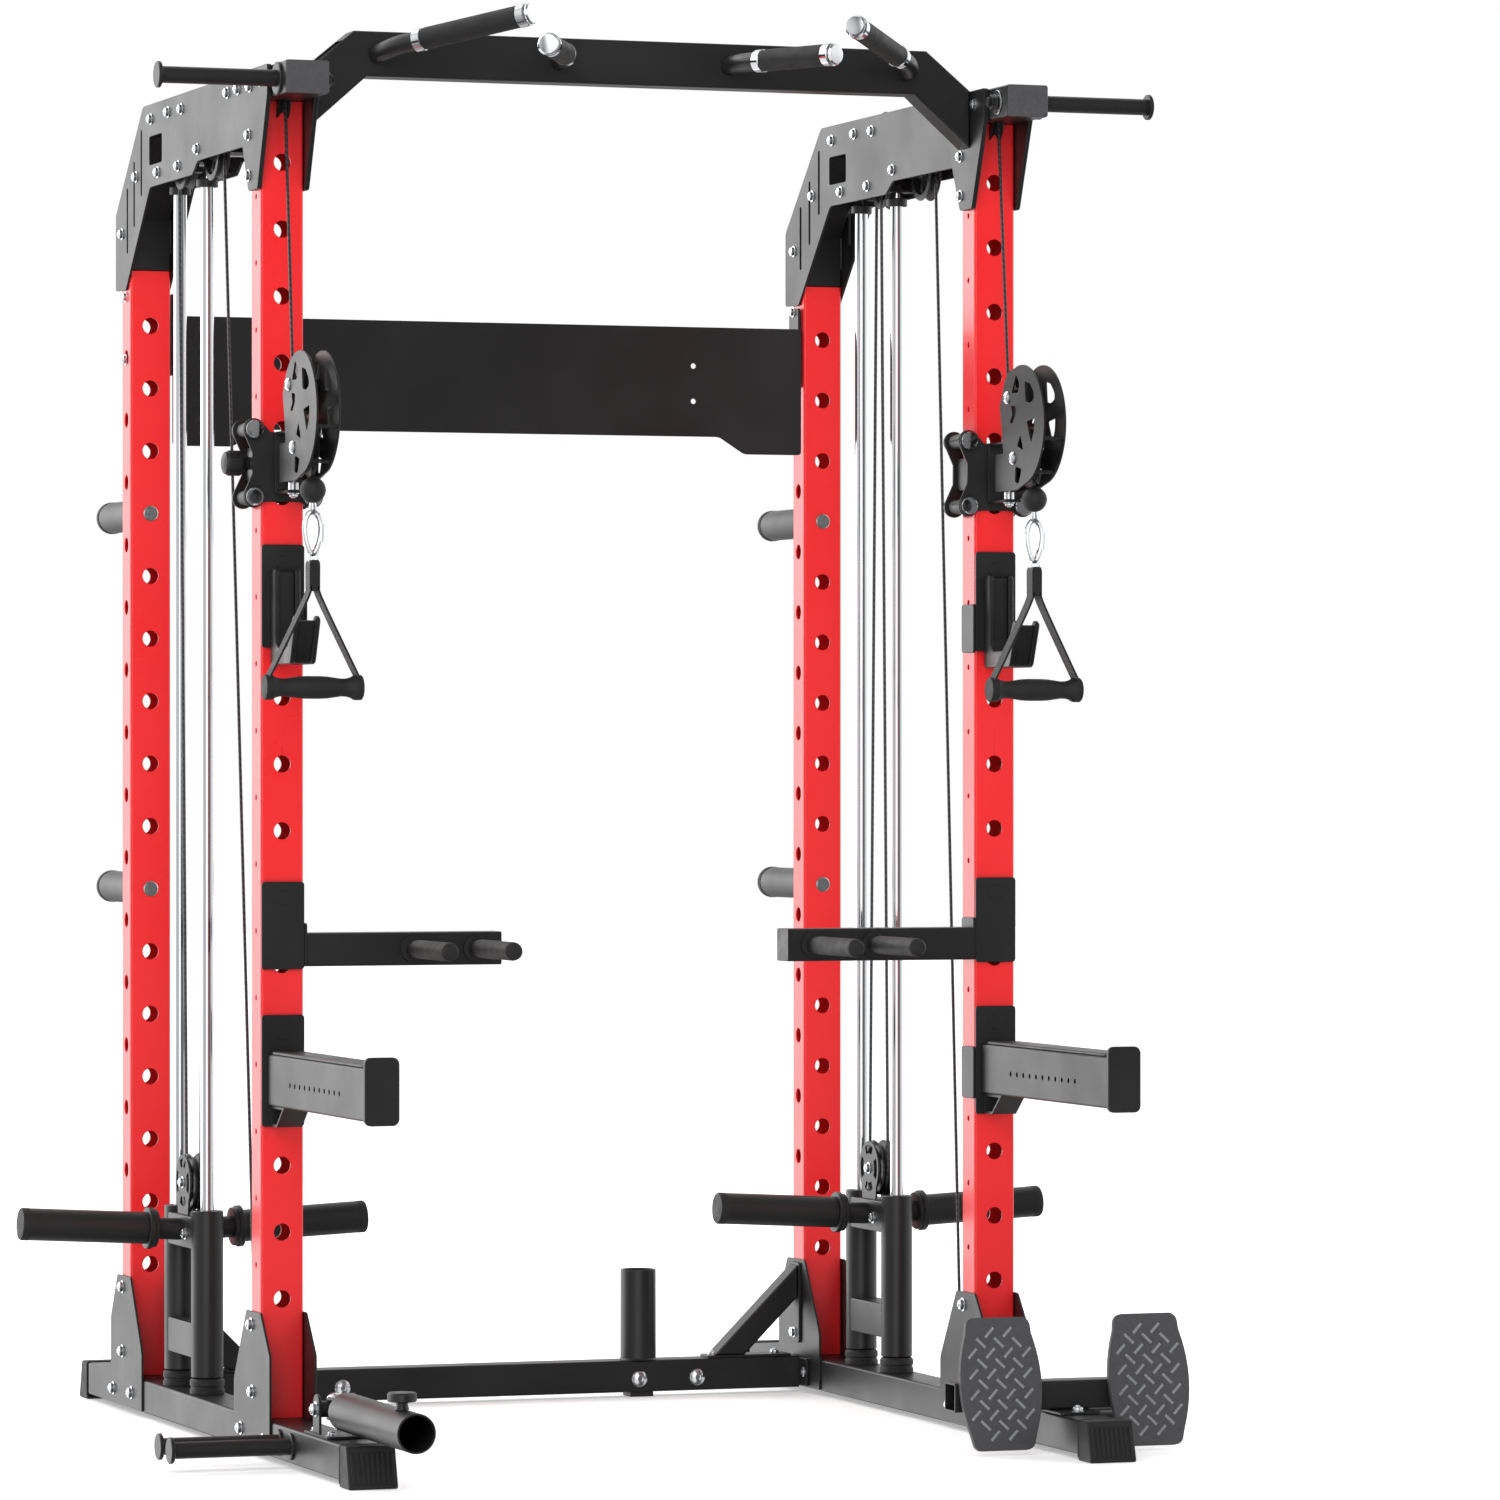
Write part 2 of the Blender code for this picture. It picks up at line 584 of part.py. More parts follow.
def weight_carriage(side, sign):
    x = sign * TOWER_X
    low = RAIL_TOP + BUMPER_H + 0.0013
    pieces = [pipe("Z", (x, y), SLEEVE_R, ROD_R + ROD_CLEAR, low, low + SLEEVE_H) for y in ROD_Y]
    inner = (ROD_Y[0] + SLEEVE_R - 0.001, ROD_Y[1] - SLEEVE_R + 0.001)
    pieces.append(box((x - 0.004, x + 0.004), inner, (low + 0.030, low + 0.086)))
    pieces.append(box((x - 0.020, x + 0.020), inner, (PEG_Z - 0.026, PEG_Z + 0.024)))
    for k in (-1, 1):
        pieces += plate_peg(x, k)
        ear = [(CARRIAGE_Y - 0.020, PEG_Z + 0.023), (CARRIAGE_Y + 0.020, PEG_Z + 0.023),
               *arc(CARRIAGE_PULLEY, (0.018, 0.018), 0, 180, 6)]
        near = x + k * (PULLEY_HALF + 0.005)
        pieces.append(prism("X", ear, *sorted((near, near + k * 0.003))))
    finish(join(*pieces), f"weight_carriage_{side}", BLACK, (x, CARRIAGE_Y, PEG_Z))


def plate_peg(x, way):
    """A plate peg with its stub and stop disc, tilted up a little towards its tip."""
    stub = disc("X", (0, 0), 0.017, 0.015, 0.072)
    stop = disc("X", (0, 0), 0.0325, 0.068, 0.077)
    peg = pipe("X", (0, 0), PEG_R, PEG_R - 0.003, 0.074, PEG_REACH)
    for piece in (stub, stop, peg):
        turn = Matrix.Rotation(-PEG_TILT, 4, "Y")
        if way < 0:
            turn = Matrix.Rotation(math.pi, 4, "Z") @ turn
        piece.data.transform(Matrix.Translation((x, CARRIAGE_Y, PEG_Z)) @ turn)
    return [stub, stop, peg]


def trolley(side, sign):
    """Slides on the front upright on four rollers and holds the swivel's two lugs."""
    x = sign * TOWER_X
    roller_x = HALF_W + ROLLER_R + 0.0005
    front = (-0.0055, -0.0015)
    rear = (UP_D + 0.0015, UP_D + 0.0055)
    wide = roller_x + 0.013
    pieces = []
    for y in (front, rear):
        waist = [(-wide, 0.036), (-wide + 0.012, 0.016), (-wide + 0.012, -0.018), (-wide, -0.038),
                 (-wide, -0.066), (wide, -0.066), (wide, -0.038), (wide - 0.012, -0.018),
                 (wide - 0.012, 0.016), (wide, 0.036), (wide, 0.064), (-wide, 0.064)]
        plate = prism("Y", [(x + u, TROLLEY_Z + v) for u, v in waist], *y)
        pieces.append(plate)
    for k in (-1, 1):
        for dz in (0.050, -0.051):
            centre = (x + k * roller_x, TROLLEY_Z + dz)
            pieces.append(disc("Y", centre, ROLLER_R, front[0] - 0.005, rear[1] + 0.005, 10))
        web = sorted((x + k * (HALF_W + 0.004), x + k * (HALF_W + 0.008)))
        pieces.append(box(web, (front[0] + 0.001, rear[1] - 0.001),
                          (TROLLEY_Z - 0.026, TROLLEY_Z + 0.024)))
    neck = sorted((x + sign * (HALF_W + 0.007), x + sign * (HALF_W + 0.0135)))
    pieces.append(disc("X", (UP_D / 2, TROLLEY_Z), 0.010, *neck))
    pieces.append(box((x - 0.014, x + 0.014), (-0.0095, front[0] + 0.001),
                      (TROLLEY_Z - 0.047, TROLLEY_Z + 0.046)))
    for z in (TROLLEY_Z - 0.047, TROLLEY_Z + 0.042):
        pieces.append(box((x - 0.0135, x + 0.0135), (SWIVEL_Y - 0.017, -0.008), (z, z + 0.004)))
    anchor = UP_D / 2 + 0.0498
    pieces.append(box((x - 0.006, x + 0.006), (rear[1] - 0.001, anchor + 0.006),
                      (TROLLEY_Z - 0.058, TROLLEY_Z - 0.038)))
    body = join(*pieces)
    bore = sorted((x + sign * (HALF_W + 0.001), x + sign * (HALF_W + 0.016)))
    cut(body, disc("X", (UP_D / 2, TROLLEY_Z), 0.0055, *bore))
    finish(body, f"trolley_{side}", BLACK, (x, 0, TROLLEY_Z))
    pin = disc("X", (0, 0), 0.0045, sign * (HALF_W + 0.0006), sign * (HALF_W + 0.020), 10)
    knob = disc("X", (0, 0), 0.019, sign * (HALF_W + 0.014), sign * (HALF_W + 0.053), 16)
    join(knob, pin)
    place = (x, UP_D / 2, TROLLEY_Z)
    knob.data.transform(Matrix.Translation(place))
    finish(knob, f"trolley_pin_{side}", PLASTIC, place)


def swivel_outline():
    """A swivel plate, as a (Y, Z) outline: a round nose and a straight heel."""
    heel = SWIVEL_Y + 0.010
    nose = arc((SWIVEL_Y - 0.096, TROLLEY_Z + 0.068), (0.094, 0.092), 20, 250, 14)
    return [*nose, (SWIVEL_Y - 0.075, TROLLEY_Z - 0.031), (heel, TROLLEY_Z - 0.031),
            (heel, TROLLEY_Z + 0.027), (SWIVEL_Y - 0.022, TROLLEY_Z + 0.027),
            (SWIVEL_Y - 0.018, TROLLEY_Z + 0.057)]


def swivel(side, sign):
    """Two plates around the swivel pulleys, turning between the trolley's lugs."""
    x = sign * TOWER_X
    plates = [prism("X", swivel_outline(), *sorted((x + k * SWIVEL_HALF, x + k * (SWIVEL_HALF + SWIVEL_T))))
              for k in (-1, 1)]
    barrel = disc("Z", (x, SWIVEL_Y), 0.008, TROLLEY_Z - 0.043 + GAP, TROLLEY_Z + 0.042 - GAP)
    block = box((x - SWIVEL_HALF - 0.001, x + SWIVEL_HALF + 0.001), (SWIVEL_Y - 0.012, SWIVEL_Y + 0.008),
                (TROLLEY_Z - 0.028, TROLLEY_Z + 0.024))
    nose = arc((SWIVEL_Y - 0.096, TROLLEY_Z + 0.068), (0.092, 0.090), 185, 232, 6)
    inner = arc((SWIVEL_Y - 0.096, TROLLEY_Z + 0.068), (0.089, 0.087), 232, 185, 6)
    guard = prism("X", nose + inner, x - SWIVEL_HALF - 0.001, x + SWIVEL_HALF + 0.001)
    finish(join(*plates, barrel, block, guard), f"swivel_housing_{side}", BLACK, (x, SWIVEL_Y, TROLLEY_Z))


def pull_handle(side, sign):
    """Stop ball, snap hook, strap and grip, hanging from the cable."""
    x = sign * TOWER_X
    y, top = BALL
    bm = bmesh.new()
    bmesh.ops.create_uvsphere(bm, u_segments=10, v_segments=7, radius=0.0193,
                              matrix=Matrix.Translation((x, y, top)))
    ball = as_object(bm)
    hook = disc("Z", (x, y), 0.0045, top - 0.106, top - 0.015, 8)
    peak, grip_z, half = top - 0.103, top - 0.291, 0.0745
    yoke = box((x - 0.011, x + 0.011), (y - 0.0125, y + 0.0125), (peak - 0.046, peak))
    grip = disc("X", (y, grip_z), 0.0165, x - half, x + half, 12)
    pieces = [ball, hook, yoke, grip]
    for k in (-1, 1):
        leg = [(x + k * 0.001, peak - 0.036), (x + k * 0.011, peak - 0.036),
               (x + k * (half - 0.006), grip_z + 0.004), (x + k * (half - 0.012), grip_z - 0.004)]
        pieces.append(prism("Y", leg, y - 0.0125, y + 0.0125))
    finish(join(*pieces), f"pull_handle_{side}", PLASTIC, (x, y, top))


# --- cable ----------------------------------------------------------------------------
def crossing(first, r1, second, r2, way):
    """Angle of the line that crosses between two pulleys, leaving the first at the
    returned angle and meeting the second opposite to it; way is +1 or -1."""
    dy, dz = second[0] - first[0], second[1] - first[1]
    lean = math.asin((r1 + r2) / math.hypot(dy, dz))
    return math.degrees(math.atan2(dz, dy) + way * (lean - math.pi / 2)) % 360


def wrap(centre, radius, start, end, x):
    """Cable points round a pulley, outside the circle so that the chords touch it."""
    count = max(2, round(abs(end - start) / 28) + 1)
    half_step = math.radians(abs(end - start) / (count - 1) / 2)
    reach = radius / math.cos(half_step)
    return [(x, y, z) for y, z in arc(centre, (reach, reach), start, end, count)]


def cable_route(sign):
    """From the trolley's anchor round every pulley to the stop ball."""
    x = sign * TOWER_X
    inner, outer = x - sign * PULLEY_SHIFT, x + sign * PULLEY_SHIFT
    up = crossing(BASE_PULLEY, BASE_LINE, SLANT_PULLEY, CABLE_LINE, 1)
    down = crossing(FRONT_PULLEY, CABLE_LINE, UPPER_PULLEY, CABLE_LINE, 1)
    between = crossing(UPPER_PULLEY, CABLE_LINE, LOWER_PULLEY, CABLE_LINE, -1)
    anchor = BASE_PULLEY[0] - BASE_LINE
    route = [(x, anchor, TROLLEY_Z - 0.058 - GAP)]
    route += wrap(BASE_PULLEY, BASE_LINE, 180, up, x)
    route += wrap(SLANT_PULLEY, CABLE_LINE, up - 180, 90, outer)
    route += wrap(REAR_PULLEY, CABLE_LINE, 90, 0, outer)
    route += wrap(CARRIAGE_PULLEY, CABLE_LINE, 0, -180, x)
    route += wrap(DROP_PULLEY, CABLE_LINE, 0, 90, inner)
    route += wrap(FRONT_PULLEY, CABLE_LINE, 90, down, x)
    route += wrap(UPPER_PULLEY, CABLE_LINE, down - 180, between - 360, x)
    route += wrap(LOWER_PULLEY, CABLE_LINE, between - 180, 180, x)
    route.append((x, BALL[0], BALL[1] + 0.0193 + GAP))
    return route


def cable(side, sign):
    finish(bent_bar(cable_route(sign), CABLE_R), f"cable_{side}", STEEL_WIRE)


# --- attachments ----------------------------------------------------------------------
def face_plate(x, sign, z, low, high, flange_low, flange_high):
    """Plate on the front upright with its pin and the flange on the upright's inner side."""
    back = -FITTING_GAP
    plate = box((x - HALF_W, x + HALF_W), (back - FITTING_T, back), (low, high))
    pin = disc("Y", (x, z), PIN_R, back - 0.001, UP_D - 0.009)
    near = x - sign * (HALF_W + FITTING_GAP)
    far = near - sign * 0.004
    flange = box((near, far), (back - FITTING_T, UP_D - 0.009), (flange_low, flange_high))
    bridge = box((x - sign * (HALF_W - 0.005), far), (back - FITTING_T, back),
                 (flange_low, flange_high))
    return [plate, pin, flange, bridge]


def j_hook(side, sign):
    x = sign * TOWER_X
    z = hole_z(nearest_hole(HOOK_HEIGHT))
    pieces = face_plate(x, sign, z, z - 0.126, z + 0.028, z - 0.128, z - 0.053)
    hook = [(-0.004, z - 0.009), (-0.030, z - 0.009), (-0.030, z - 0.116), (-0.040, z - 0.126),
            (-0.098, z - 0.126), (-0.128, z - 0.079), (-0.140, z - 0.086), (-0.112, z - 0.152),
            (-0.004, z - 0.152)]
    pieces.append(prism("X", hook, x - 0.020, x + 0.020))
    finish(join(*pieces), f"j_hook_{side}", BLACK, (x, 0, z))


def dip_bar(side, sign):
    x = sign * TOWER_X
    z = hole_z(nearest_hole(DIP_HEIGHT))
    pieces = face_plate(x, sign, z, z - 0.107, z + 0.024, z - 0.103, z - 0.038)
    start = x - sign * (HALF_W + FITTING_GAP + 0.003)
    span = sorted((start, sign * 0.230))
    pieces.append(square_tube("X", (-FITTING_GAP - FITTING_T, UP_D - 0.009), (z - 0.103, z - 0.053),
                              0.003, *span))
    for peg_x in (0.370, 0.271):
        pieces.append(disc("Y", (sign * peg_x, z - 0.078), 0.014, -0.200, -0.004))
    finish(join(*pieces), f"dip_bar_{side}", BLACK, (x, 0, z))


def spotter_arm(side, sign):
    x = sign * TOWER_X
    z = hole_z(nearest_hole(SPOTTER_HEIGHT))
    pieces = face_plate(x, sign, z, z - 0.142, z + 0.025, z - 0.118, z - 0.038)
    arm = square_tube("Y", (x - 0.025, x + 0.025), (z - 0.110, z - 0.033), 0.003, -0.516, -0.004)
    vents = [disc("X", (y, z - 0.075), 0.004, x - 0.03, x + 0.03, 6) for y in (-0.13, -0.26, -0.39)]
    cut(arm, one_cutter(vents))
    pieces.append(arm)
    pieces.append(box((x - 0.026, x + 0.026), (-0.524, -0.514), (z - 0.116, z - 0.018)))
    finish(join(*pieces), f"spotter_arm_{side}", BLACK, (x, 0, z))


def landmine():
    """A pivot block that tilts in the bracket's ears, and a bar socket that swings on it."""
    x, y, z = -TOWER_X, LANDMINE_Y, LANDMINE_Z
    inner = RAIL_HALF - 0.008 - 0.0007
    block = disc("X", (y, z), 0.012, x - inner, x + inner)
    finish(block, "landmine_pivot", BLACK, (x, y, z))
    back = y - 0.050
    socket = pipe("Y", (x, z), LANDMINE_R, LANDMINE_BORE, back - LANDMINE_LENGTH, back, 16)
    end_disc = disc("Y", (x, z), LANDMINE_R - 0.001, back - 0.004, back - 0.0005, 16)
    cheeks = [box((x - 0.011, x + 0.011), (back - 0.002, y + 0.011), (z + k * 0.0125, z + k * 0.0165))
              for k in (-1, 1)]
    stem = disc("Z", (x, back - 0.286), 0.008, z + LANDMINE_BORE + 0.001, z + 0.042, 10)
    knob = disc("Z", (x, back - 0.286), 0.021, z + 0.038, z + 0.053, 14)
    finish(join(socket, end_disc, *cheeks, stem, knob), "landmine_socket", BLACK, (x, y, z))


def foot_rest():
    """Bar across the right rail with two leaning foot plates."""
    x = TOWER_X
    low = RAIL_TOP + GAP
    bar_y = (FOOT_Y + 0.010, FOOT_Y + 0.054)
    seat = box((x - HALF_W, x + HALF_W), (FOOT_Y - 0.040, FOOT_Y + 0.062), (low, low + 0.004))
    bar = square_tube("X", bar_y, (low + 0.003, low + 0.048), 0.003, x + FOOT_X[0] - 0.035,
                      x + FOOT_X[1] + 0.035)
    pieces = [bar, seat]
    outline = [*arc((0, 0.010), (0.0655, 0.095), -38, 38, 6), (0.042, 0.100), (-0.042, 0.100),
               *arc((0, 0.010), (0.0655, 0.095), 142, 218, 6), (-0.038, -0.100), (0.038, -0.100)]
    for foot_x in FOOT_X:
        plate = prism("Y", outline, -0.002, 0.002)
        mount = box((-0.020, 0.020), (0.001, 0.016), (-0.034, 0.0))
        for piece in (plate, mount):
            lean = Matrix.Rotation(math.radians(-10), 4, "X")
            piece.data.transform(Matrix.Translation((x + foot_x, FOOT_Y, FOOT_Z)) @ lean)
        pieces += [plate, mount]
    finish(join(*pieces), "foot_rest", BLACK)


# --- assembly -------------------------------------------------------------------------
crossmember()
pull_up_beam()
back_panel()
landmine()
foot_rest()
for side_name, side_sign in SIDES:
    base_rail(side_name, side_sign)
    foot_caps(side_name, side_sign)
    uprights(side_name, side_sign)
    top_beam(side_name, side_sign)
    side_plates(side_name, side_sign)
    guide_rods(side_name, side_sign)
    tower_pulleys(side_name, side_sign)
    weight_carriage(side_name, side_sign)
    trolley(side_name, side_sign)
    swivel(side_name, side_sign)
    pull_handle(side_name, side_sign)
    cable(side_name, side_sign)
    j_hook(side_name, side_sign)
    dip_bar(side_name, side_sign)
    spotter_arm(side_name, side_sign)
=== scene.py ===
"""Functional trainer: a red and black power rack with a plate-loaded cable tower on each side.

Every piece is modelled in the rack's own measures, in metres: X from the middle of the rack,
Y back from the front face of the front uprights, Z from the floor.  seat() moves a finished
piece to its place in the frame, paints it and fixes it to the body that carries it.
"""
import math

import bpy
from mathutils import Matrix, Vector


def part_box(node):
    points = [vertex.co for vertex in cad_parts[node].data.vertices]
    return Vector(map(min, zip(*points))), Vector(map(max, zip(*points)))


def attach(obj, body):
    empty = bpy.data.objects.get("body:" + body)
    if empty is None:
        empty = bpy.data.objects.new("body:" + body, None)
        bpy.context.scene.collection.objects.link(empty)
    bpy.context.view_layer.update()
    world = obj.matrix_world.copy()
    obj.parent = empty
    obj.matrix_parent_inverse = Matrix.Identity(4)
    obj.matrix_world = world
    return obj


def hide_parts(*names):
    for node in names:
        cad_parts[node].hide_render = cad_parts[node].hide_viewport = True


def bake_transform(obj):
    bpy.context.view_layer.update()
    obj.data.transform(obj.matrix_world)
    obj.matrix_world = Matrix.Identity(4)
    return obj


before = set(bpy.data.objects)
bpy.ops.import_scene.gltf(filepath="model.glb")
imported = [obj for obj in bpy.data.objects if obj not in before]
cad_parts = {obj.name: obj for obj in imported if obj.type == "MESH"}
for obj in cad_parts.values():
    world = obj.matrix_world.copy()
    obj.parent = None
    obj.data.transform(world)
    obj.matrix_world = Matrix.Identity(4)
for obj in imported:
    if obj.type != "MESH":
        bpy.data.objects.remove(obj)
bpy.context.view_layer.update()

# --- sizes read from the frame --------------------------------------------------------
upright_low, upright_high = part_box("front_upright_right")
rear_low, rear_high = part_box("rear_upright_right")
GAP = 0.0003
TOUCH = 0.0001    # air between pieces that rest on each other
TOWER_X = (upright_low.x + upright_high.x) / 2
FRONT = upright_low.y
HALF_W = (upright_high.x - upright_low.x) / 2
UP_D = upright_high.y - upright_low.y
HEAD_Z = upright_high.z + GAP
DEPTH = rear_low.y - FRONT
REAR_TOP = rear_high.z + GAP
SIDES = (("left", -1), ("right", 1))

# --- sizes of the frame ---------------------------------------------------------------
UP_WALL = 0.003
TUBE_CORNER = 0.004
HOLE_R = 0.013
HOLE_PITCH = 0.100
HOLE_COUNT = 18
FIRST_HOLE = HEAD_Z - 0.091
PLATE_T = 0.0035
PLATE_IN = HALF_W + GAP
PLATE_OUT = PLATE_IN + PLATE_T
INNER_FACE = TOWER_X - PLATE_OUT
RAIL_HALF = PLATE_IN + 0.0002
RAIL_BOTTOM = 0.008
RAIL_TOP = 0.060
RAIL_FRONT = -0.430
RAIL_REAR = DEPTH + 0.267
SHOE_TOP = 0.218
CROSS_D = 0.050
HOLDER_X = 0.259
HOLDER_TOP = 0.208
BEAM_TOP = HEAD_Z + 0.049
BEAM_FRONT = -0.137
SIDE_BAR_R = 0.0125
SIDE_BAR_REACH = 0.2177
BAND_PEG_Y = (-0.104, -0.168)
PULL_UP_H = 0.068
PULL_UP_D = 0.050

# --- sizes of the towers --------------------------------------------------------------
PULLEY_R = 0.045
BASE_PULLEY_R = 0.038
PULLEY_HALF = 0.0095
GROOVE_DEPTH = 0.007
CABLE_R = 0.0025
CABLE_SEAT = 0.0007    # air between cable and groove
CABLE_LINE = PULLEY_R - GROOVE_DEPTH + CABLE_SEAT + CABLE_R
BASE_LINE = BASE_PULLEY_R - GROOVE_DEPTH + CABLE_SEAT + CABLE_R
PULLEY_SHIFT = 0.012
CARRIAGE_Y = 0.509
ROD_Y = (CARRIAGE_Y - 0.081, CARRIAGE_Y + 0.081)
ROD_R = 0.0105
ROD_TOP = HEAD_Z - 0.074
BUMPER_H = 0.024
PEG_R = 0.025
PEG_Z = 0.310
PEG_TILT = math.radians(3.0)
STORAGE_REACH = 0.198
STORAGE_HOLES = (5, 11)
TROLLEY_Z = FIRST_HOLE - 4.5 * HOLE_PITCH
SWIVEL_Y = -0.060
SWIVEL_HALF = 0.0155
SWIVEL_T = 0.003
FRONT_PULLEY = (UP_D / 2 - 0.001, HEAD_Z + 0.011)
DROP_PULLEY = (CARRIAGE_Y - 2 * CABLE_LINE, HEAD_Z + 0.011)
REAR_PULLEY = (CARRIAGE_Y, HEAD_Z - PULLEY_R - 0.004)
SLANT_PULLEY = (0.327, HEAD_Z - PULLEY_R - 0.004)
BASE_PULLEY = (UP_D + 0.057, RAIL_TOP + 0.055)
CARRIAGE_PULLEY = (CARRIAGE_Y, PEG_Z + 0.074)
UPPER_PULLEY = (SWIVEL_Y - CABLE_LINE, TROLLEY_Z + 0.112)
LOWER_PULLEY = (UPPER_PULLEY[0] - 0.0228, TROLLEY_Z + 0.018)
BALL = (LOWER_PULLEY[0] - CABLE_LINE, TROLLEY_Z - 0.046)
BALL_R = 0.0193
HOOK_Z = FIRST_HOLE - 6 * HOLE_PITCH
DIP_Z = FIRST_HOLE - 11 * HOLE_PITCH
SPOTTER_Z = FIRST_HOLE - 13 * HOLE_PITCH
LANDMINE_Y = -0.285
LANDMINE_Z = 0.099
FOOT_X = (-0.1148, 0.1257)
FOOT_Y = -0.317
FOOT_Z = 0.107


# --- camera, floor and light ----------------------------------------------------------
def studio():
    """Camera at the height of the rack's middle, standing off to its left; white room."""
    scene = bpy.context.scene
    scene.view_settings.view_transform = "Standard"
    lens = bpy.data.cameras.new("camera")
    lens.lens = 168.7
    lens.sensor_width = 36
    lens.shift_y = 0.0049
    lens.clip_end = 200
    camera = bpy.data.objects.new("camera", lens)
    camera.location = (-3.434, FRONT - 10.138, 1.048)
    camera.rotation_euler = (math.radians(90), 0, math.radians(-19.57))
    scene.collection.objects.link(camera)
    scene.camera = camera
    clear()
    bpy.ops.mesh.primitive_plane_add(size=60, location=(0, 0, -0.0005))
    floor = bpy.context.object
    floor.name = "studio_floor"
    floor.data.materials.append(PAINTS["floor"])
    floor.visible_glossy = False
    lamps = (("key", (-3.2, -4.2, 4.2), 4.0, 128, (0, 0, 1.0)),
             ("fill", (4.4, -3.6, 2.6), 3.5, 72, (0, 0, 1.0)),
             ("rear", (1.5, 5.0, 3.6), 4.0, 90, (0, 0, 1.0)))
    for name, place, size, power, aim in lamps:
        lamp = bpy.data.lights.new(name, "AREA")
        lamp.shape = "SQUARE"
        lamp.size = size
        lamp.energy = power
        holder = bpy.data.objects.new(name, lamp)
        holder.location = place
        holder.rotation_euler = (Vector(aim) - Vector(place)).to_track_quat("-Z", "Y").to_euler()
        holder.visible_glossy = False
        scene.collection.objects.link(holder)
    scene.world = white_room()


def white_room():
    """White all round: a bright panel behind, softer ones at both sides and in front, dim below."""
    world = bpy.data.worlds.new("white_room")
    world.use_nodes = True
    tree = world.node_tree
    out = tree.nodes["World Output"]
    tree.nodes.remove(tree.nodes["Background"])
    way = add(tree, "ShaderNodeTexCoord")
    split = add(tree, "ShaderNodeSeparateXYZ", {"Vector": way.outputs["Generated"]})

    def ramp(axis, low, high, first, last):
        return add(tree, "ShaderNodeMapRange",
                   {"Value": split.outputs[axis], "From Min": low, "From Max": high,
                                                "To Min": first, "To Max": last},
                   interpolation_type="SMOOTHSTEP").outputs[0]

    def both(kind, first, second):
        return add(tree, "ShaderNodeMath", {0: first, 1: second}, operation=kind).outputs[0]

    back = ramp("Y", -0.30, 0.60, 0.20, 0.95)
    panel = both("MULTIPLY", ramp("Y", 0.20, 0.75, 0.0, 1.0), ramp("X", -0.42, -0.08, 2.6, 0.0))
    sides = both("ADD", ramp("X", -0.95, -0.60, 0.6, 0.0), ramp("X", 0.55, 0.90, 0.0, 0.9))
    lamp = both("MULTIPLY", ramp("X", -0.75, -0.55, 0.0, 1.5), ramp("X", -0.10, 0.08, 1.0, 0.0))
    lamp = both("MULTIPLY", lamp, ramp("Y", -0.70, -0.40, 1.0, 0.0))
    total = both("ADD", both("ADD", back, panel), both("ADD", sides, lamp))
    total = both("MULTIPLY", total, ramp("Z", -0.30, 0.25, 0.60, 1.0))
    lit = add(tree, "ShaderNodeBackground", {"Color": (1, 1, 1, 1), "Strength": total})
    plain = add(tree, "ShaderNodeBackground", {"Color": (1, 1, 1, 1), "Strength": 1.0})
    ray = add(tree, "ShaderNodeLightPath")
    mix = add(tree, "ShaderNodeMixShader",
              {0: ray.outputs["Is Camera Ray"], 1: lit.outputs[0], 2: plain.outputs[0]})
    tree.links.new(mix.outputs[0], out.inputs["Surface"])
    return world


# --- finishes -------------------------------------------------------------------------
def linear(code):
    """An sRGB hex colour as Blender's linear colour."""
    parts = [int(code[i:i + 2], 16) / 255 for i in (1, 3, 5)]
    return (*[c / 12.92 if c <= 0.04045 else ((c + 0.055) / 1.055) ** 2.4 for c in parts], 1)


def add(tree, kind, inputs=None, **settings):
    """One node, with its settings, and its sockets set or linked."""
    made = tree.nodes.new(kind)
    for name, value in settings.items():
        setattr(made, name, value)
    for name, value in (inputs or {}).items():
        if isinstance(value, bpy.types.NodeSocket):
            tree.links.new(value, made.inputs[name])
        else:
            made.inputs[name].default_value = value
    return made


def finish(name, **shell):
    """A material with its shader; shell sets the shader's own sockets."""
    made = bpy.data.materials.new(name)
    made.use_nodes = True
    tree = made.node_tree
    shader = tree.nodes["Principled BSDF"]
    for socket, value in shell.items():
        shader.inputs[socket.replace("_", " ")].default_value = value
    place = add(tree, "ShaderNodeTexCoord")
    return made, tree, shader, place.outputs["Object"]


def grain(tree, shader, place, colours, roughness, cloud, pit, depth):
    """Two close colours in soft clouds, an uneven gloss, and a fine bump; cloud and pit are
    their sizes and depth the bump's height, in metres."""
    clouds = add(tree, "ShaderNodeTexNoise", {"Vector": place, "Scale": 1 / cloud, "Detail": 3.0})
    tone = add(tree, "ShaderNodeMixRGB",
               {"Fac": clouds.outputs["Fac"], "Color1": linear(colours[0]),
                                          "Color2": linear(colours[1])})
    gloss = add(tree, "ShaderNodeMapRange",
                {"Value": clouds.outputs["Fac"], "From Min": 0.3, "From Max": 0.7,
                                             "To Min": roughness[0], "To Max": roughness[1]})
    pits = add(tree, "ShaderNodeTexNoise", {"Vector": place, "Scale": 1 / pit, "Detail": 2.0})
    bump = add(tree, "ShaderNodeBump",
               {"Height": pits.outputs["Fac"], "Strength": 0.6, "Distance": depth})
    tree.links.new(tone.outputs[0], shader.inputs["Base Color"])
    tree.links.new(gloss.outputs[0], shader.inputs["Roughness"])
    tree.links.new(bump.outputs[0], shader.inputs["Normal"])


